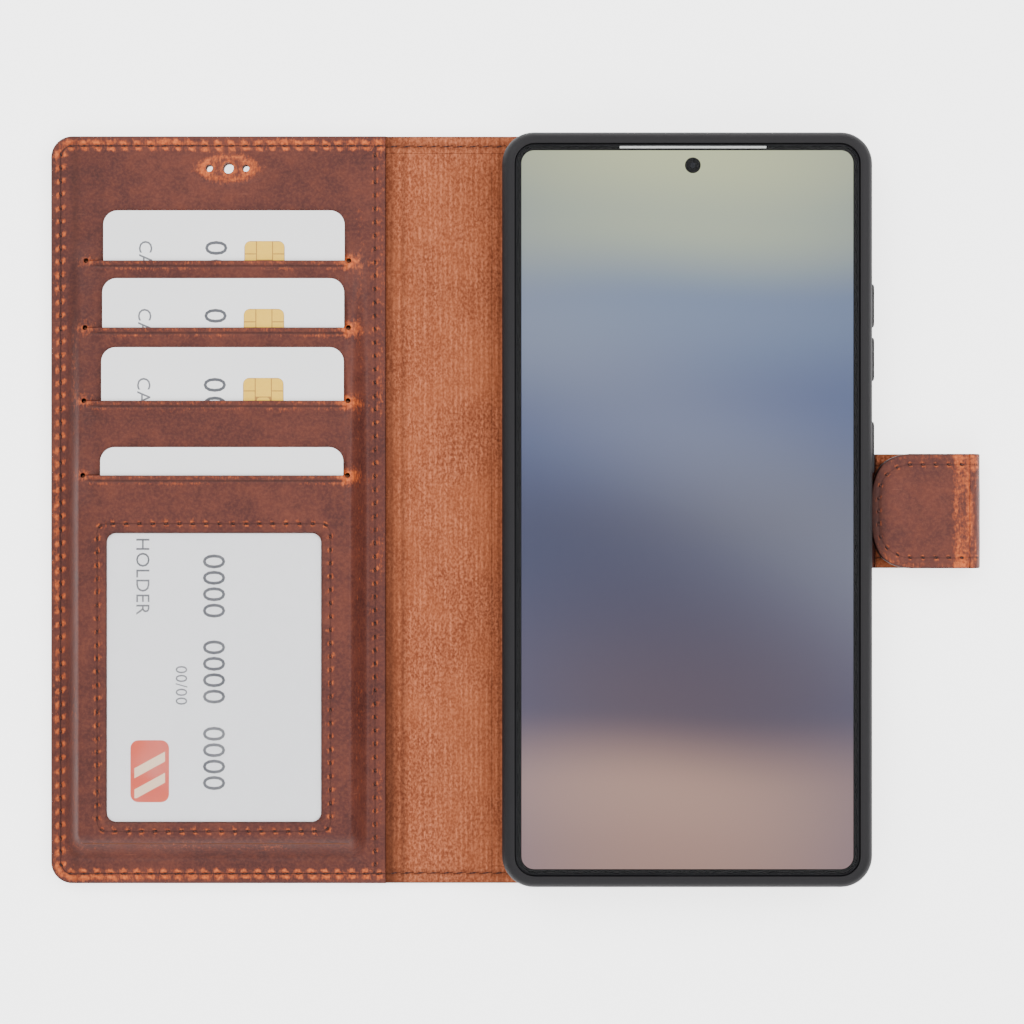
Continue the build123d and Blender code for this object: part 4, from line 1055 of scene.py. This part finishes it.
# the rolled bend, from the root round to the tip
def bend_piece(name, outer, inner, material, seg=26, lip=0.35, leather_paint=True):
    ys = rows(SH, 2.0, 0.55)
    V, A = [], {k: [] for k in ("s", "ad", "sd", "kd", "pull", "dark")}
    na = seg + 1
    for layer, curve in ((0, outer), (1, inner)):
        for i in range(na):
            u = i / seg
            px, pz = curve(u)
            for y in ys:
                e = SH - abs(y)
                k = float(roll(np.array(e), lip))
                cx, cz = X_F, (TZ1 + 0.05) / 2
                dx, dz = px - cx, pz - cz
                d = max(math.hypot(dx, dz), 1e-6)
                f = (d - k * (1 if layer == 0 else -0.4)) / d
                wr = 0.05 * float(wob(np.array(u * 40.0), np.array(y * 0.6), 3.0, 41)) if layer == 0 else 0.0
                V.append((cx + dx * (f + wr / d * min(1, e)), y + YC, cz + dz * (f + wr / d * min(1, e))))
                ad = abs(e - STI)
                A["s"].append(u * 3.2); A["ad"].append(min(ad, 4) if layer == 0 else 4); A["sd"].append(max(-1.2, min(1.2, e - STI))); A["kd"].append(0.85)
                A["pull"].append(0.0 if layer else float(np.clip((0.12 + 0.60 * gauss(np.array(u - 1.0), 0.14)) + 0.45 * wob(np.array(u * 26), np.array(y * 0.45), 2.2, 23), 0, 1)))
                A["dark"].append(float(0.7 * gauss(np.array(e), 0.22)))
    m = len(ys)
    ix = lambda l, i, j: l * na * m + i * m + j
    F = []
    for i in range(seg):
        for j in range(m - 1):
            F.append((ix(0, i, j), ix(0, i, j + 1), ix(0, i + 1, j + 1), ix(0, i + 1, j)))
            F.append((ix(1, i, j), ix(1, i + 1, j), ix(1, i + 1, j + 1), ix(1, i, j + 1)))
        F.append((ix(0, i, 0), ix(0, i + 1, 0), ix(1, i + 1, 0), ix(1, i, 0)))
        F.append((ix(0, i, m - 1), ix(1, i, m - 1), ix(1, i + 1, m - 1), ix(0, i + 1, m - 1)))
    for j in range(m - 1):
        F.append((ix(0, 0, j), ix(1, 0, j), ix(1, 0, j + 1), ix(0, 0, j + 1)))
        F.append((ix(0, seg, j), ix(0, seg, j + 1), ix(1, seg, j + 1), ix(1, seg, j)))
    o = new_object(name, V, F, material, A)
    weld(o)
    nrm = np.zeros(len(o.data.polygons) * 3, np.float32)
    o.data.polygons.foreach_get("normal", nrm)
    nz = np.abs(nrm.reshape(-1, 3))
    mid = np.zeros(len(o.data.polygons) * 3, np.float32)
    o.data.polygons.foreach_get("center", mid)
    o.data.polygons.foreach_set("use_smooth", (nz[:, 1] < 0.98) & (mid.reshape(-1, 3)[:, 0] > (X_F + 0.001) * MM))
    return o


BR = (TZ1 - 0.03) / 2


def ringpt(r_x, r_z, u, cz=None):
    a = math.radians(-90 + 180 * u)
    return X_F + r_x * math.cos(a), (BR + 0.03 if cz is None else cz) + r_z * math.sin(a)


bend = bend_piece("strap_bend", lambda u: ringpt(2.75, BR, u), lambda u: ringpt(1.75, BR - 1.08, u), LEATHER)
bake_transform(bend)
bend_in = bend_piece("strap_bend_lining", lambda u: ringpt(1.72, (5.46 - 1.12) / 2, u, (5.46 + 1.12) / 2), lambda u: ringpt(0.5, 0.6, u, 2.6), SUEDE, lip=0.25)
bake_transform(bend_in)
th6 = stitches("strap_tip_stitches", [(tip_seam, lambda x, y: float(tip_top(np.array([x]), np.array([y]), np.array([0.0]))[0]) + 0.02, 1.15, 0.62, -16, 0, 1e9, 1), (tip_seam, lambda x, y: TZ0 + 0.13, 1.5, 0.34, 8, 0, 1e9, -1)])
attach(th6, "strap_tip")
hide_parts("strap_tip_thread")
th7 = stitches("strap_root_stitches", [(s_, lambda x, y: 0.12, 1.6, 0.34, 8, 0, 1e9, -1) for s_ in root_seams] + [(s_, lambda x, y: ROOT_TOP - 0.16, 1.5, 0.34, 8, 0, 1e9, 1) for s_ in root_seams])
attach(th7, "strap_root")
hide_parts("strap_root_thread")


# ------------------------------------------------------------------ cards: chips, digits and a plain printed patch
def rounded_poly(x0, x1, y0, y1, r, n=5):
    pts = []
    for cx, cy, a0 in ((x1 - r, y1 - r, 0), (x0 + r, y1 - r, 90), (x0 + r, y0 + r, 180), (x1 - r, y0 + r, 270)):
        pts += [(cx + r * math.cos(math.radians(a0 + 90 * k / n)), cy + r * math.sin(math.radians(a0 + 90 * k / n))) for k in range(n + 1)]
    return pts


def prism(polys, z0, z1, name, material):
    V, F = [], []
    for pts in polys:
        b, n = len(V), len(pts)
        V += [(x, y, z0) for x, y in pts] + [(x, y, z1) for x, y in pts]
        F.append(tuple(range(b + n, b + 2 * n)))
        F.append(tuple(reversed(range(b, b + n))))
        F += [(b + i, b + (i + 1) % n, b + n + (i + 1) % n, b + n + i) for i in range(n)]
    return new_object(name, V, F, material, smooth_shade=False)


def clip_poly(pts, x0, x1, y0, y1):
    """A convex polygon cut to a rectangle."""
    for axis, lim, sign in ((0, x0, 1), (0, x1, -1), (1, y0, 1), (1, y1, -1)):
        out = []
        for i in range(len(pts)):
            p, q = pts[i], pts[(i + 1) % len(pts)]
            dp, dq = (p[axis] - lim) * sign, (q[axis] - lim) * sign
            if dp >= 0:
                out.append(p)
            if dp * dq < 0:
                t = dp / (dp - dq)
                out.append((p[0] + (q[0] - p[0]) * t, p[1] + (q[1] - p[1]) * t))
        pts = out
        if not pts:
            return []
    return pts


def text_mesh(name, words, x, y, h, z, material, body, spread=1.0, weight=0.0):
    """Words that read down the card: their left end is at the top."""
    cu = bpy.data.curves.new(name + "_curve", "FONT")
    cu.body = words
    cu.size = h / 0.70 * MM
    cu.align_x, cu.align_y = "LEFT", "CENTER"
    cu.space_character = spread
    cu.resolution_u = 3
    cu.extrude = 0.000008
    cu.offset = weight * MM
    tmp = bpy.data.objects.new(name + "_tmp", cu)
    bpy.context.scene.collection.objects.link(tmp)
    bpy.context.view_layer.update()
    me = bpy.data.meshes.new_from_object(tmp.evaluated_get(bpy.context.evaluated_depsgraph_get()))
    bpy.data.objects.remove(tmp)
    bpy.data.curves.remove(cu)
    co = np.array([v.co for v in me.vertices], float).reshape(-1, 3)
    new = np.stack([x * MM + co[:, 1], y * MM - co[:, 0], z * MM + co[:, 2] + 0.000004], -1)
    me.vertices.foreach_set("co", new.ravel())
    me.update()
    me.name = name
    me.attributes.new("rp", "FLOAT_VECTOR", "POINT").data.foreach_set("vector", new.astype(np.float32).ravel())
    me.materials.clear()
    me.materials.append(material)
    o = bpy.data.objects.new(name, me)
    bpy.context.scene.collection.objects.link(o)
    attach(o, body)
    return o


for k in range(1, 5):
    body = f"card_{k}"
    (cx0, cy0, _), (cx1, cy1, cz) = bx(body)
    (hx0, hy0, _), (hx1, hy1, hz) = bx(f"card_{k}_chip")
    z = hz + 0.004
    base = prism([rounded_poly(hx0 - 0.02, hx1 + 0.02, hy0 - 0.02, hy1 + 0.02, 1.4)], hz - 0.09, hz + 0.003, f"chip_{k}_base", GOLD_DARK)
    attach(base, body)
    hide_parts(f"card_{k}_chip")
    outline = rounded_poly(hx0 + 0.05, hx1 - 0.05, hy0 + 0.05, hy1 - 0.05, 1.35)
    wx, ly, gap = hx1 - hx0, hy1 - hy0, 0.11
    cuts_x = [hx0, hx0 + wx * 0.30, hx0 + wx * 0.70, hx1]
    cuts_y = [hy0, hy0 + ly * 0.25, hy0 + ly * 0.50, hy0 + ly * 0.75, hy1]
    pads = []
    for c_ in (0, 2):
        for r_ in range(4):
            pads.append(clip_poly(outline, cuts_x[c_] + gap, cuts_x[c_ + 1] - gap, cuts_y[r_] + gap, cuts_y[r_ + 1] - gap))
    pads.append(clip_poly(outline, cuts_x[1] + gap, cuts_x[2] - gap, hy0, hy0 + ly * 0.36))
    pads.append(clip_poly(outline, cuts_x[1] + gap, cuts_x[2] - gap, hy0 + ly * 0.64, hy1))
    mid = rounded_poly(cuts_x[1] + gap + 0.25, cuts_x[2] - gap - 0.25, hy0 + ly * 0.36 + 0.2, hy0 + ly * 0.64 - 0.2, 0.7)
    pads.append(mid)
    chip = prism([p for p in pads if len(p) > 2], hz + 0.002, hz + 0.016, f"chip_{k}_contacts", GOLD)
    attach(chip, body)
    top_y = cy1
    text_mesh(f"card_{k}_name", "CARD HOLDER", -121.0, top_y - 6.6, 3.0, cz, INK_SOFT if k < 4 else INK, body, 1.05)
    if k < 4:
        text_mesh(f"card_{k}_digits", "0000 0000 0000 0000", -105.3, top_y - 6.6, 5.0, cz, INK, body, 1.16)
    else:
        for q, yy in enumerate((-9.7, -28.8, -48.0)):
            text_mesh(f"card_4_digits_{q + 1}", "0000", -105.3, yy, 5.0, cz, INK, body, 1.02)
        text_mesh("card_4_valid", "00/00", -112.4, -34.6, 2.6, cz, INK_SOFT, body, 1.05)
        px0, px1, py0, py1 = -123.6, -115.0, -65.0, -51.2
        patch = prism([rounded_poly(px0, px1, py0, py1, 1.8)], cz - 0.01, cz + 0.008, "card_4_patch", PATCH)
        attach(patch, body)
        bands = [clip_poly([(px0 - 3, py0 + a), (px1 + 3, py0 + a + 8), (px1 + 3, py0 + a + 10.2), (px0 - 3, py0 + a + 2.2)], px0 + 0.9, px1 - 0.9, py0 + 0.9, py1 - 0.9) for a in (-1.5, 3.2)]
        pb = prism([p for p in bands if len(p) > 2], cz + 0.006, cz + 0.012, "card_4_patch_bands", PATCH_BAND)
        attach(pb, body)

# ------------------------------------------------------------------ display and its black border, a hair under the glass
GZ = bx("phone_screen_glass")[0][2]
(dx0, dy0, dz0), (dx1, dy1, _) = bx("phone_display")
(mx0, my0, _), (mx1, my1, _) = bx("phone_bezel_mask")
DISPLAY = display_mat()
mask = prism([rounded_poly(mx0, mx1, my0, my1, 3.7, 10)], dz0 + 0.01, GZ - 0.035, "display_border", BLACK)
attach(mask, "phone")
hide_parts("phone_bezel_mask")
screen = prism([rounded_poly(dx0, dx1, dy0, dy1, 2.8, 10)], dz0 + 0.02, GZ - 0.015, "display_panel", DISPLAY)
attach(screen, "phone")
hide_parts("phone_display")

(qx0, qy0, _), (qx1, qy1, _) = bx("phone_front_camera")
lens = prism([[((qx0 + qx1) / 2 + (qx1 - qx0) / 2 * math.cos(2 * math.pi * k / 40), (qy0 + qy1) / 2 + (qx1 - qx0) / 2 * math.sin(2 * math.pi * k / 40)) for k in range(40)]], dz0 + 0.03, GZ - 0.006, "front_camera_disc", BLACK)
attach(lens, "phone")
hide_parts("phone_front_camera")
pupil = prism([[((qx0 + qx1) / 2 + 0.62 * math.cos(2 * math.pi * k / 32), (qy0 + qy1) / 2 + 0.62 * math.sin(2 * math.pi * k / 32)) for k in range(32)]], GZ - 0.010, GZ - 0.002, "front_camera_pupil", LENS)
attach(pupil, "phone")

# ------------------------------------------------------------------ floor, light, camera
floor_me = bpy.data.meshes.new("floor")
floor_me.from_pydata([(-3, -3, -0.00005), (3, -3, -0.00005), (3, 3, -0.00005), (-3, 3, -0.00005)], [], [(0, 1, 2, 3)])
floor = bpy.data.objects.new("floor", floor_me)
bpy.context.scene.collection.objects.link(floor)
F_ = Mat("pale_floor", False)
floor_me.materials.append(F_.finish(Base_Color=F_.mix(F_.noise(3.0, 2.0), lin(250, 250, 250), lin(253, 253, 253)), Roughness=0.9, Specular_IOR_Level=0.1, Emission_Color=(1, 1, 1, 1), Emission_Strength=2.2))


def area(name, loc, target, size_, power, color=(1, 1, 1)):
    l = bpy.data.lights.new(name, "AREA")
    l.shape, l.size, l.energy, l.color = "DISK", size_, power, color
    o = bpy.data.objects.new(name, l)
    o.location = loc
    o.rotation_euler = (Vector(target) - Vector(loc)).to_track_quat("-Z", "Y").to_euler()
    bpy.context.scene.collection.objects.link(o)


C = (-0.0388, 0, 0)
area("key", (-0.62, 0.72, 1.05), C, 1.0, 11.5)
area("fill", (0.75, 0.35, 1.05), C, 1.1, 13.5)
area("low", (-0.1, -0.9, 1.0), C, 1.1, 9.5)
world = bpy.data.worlds.new("studio")
bpy.context.scene.world = world
world.use_nodes = True
world.node_tree.nodes["Background"].inputs[0].default_value = (1, 1, 1, 1)
world.node_tree.nodes["Background"].inputs[1].default_value = 1.0

cam_d = bpy.data.cameras.new("camera")
cam_d.lens, cam_d.sensor_width = 97.0, 36.0
cam_d.clip_start, cam_d.clip_end = 0.01, 10
cam = bpy.data.objects.new("camera", cam_d)
cam.location = (-0.0388, -0.0005, 0.622)
bpy.context.scene.collection.objects.link(cam)
bpy.context.scene.camera = cam
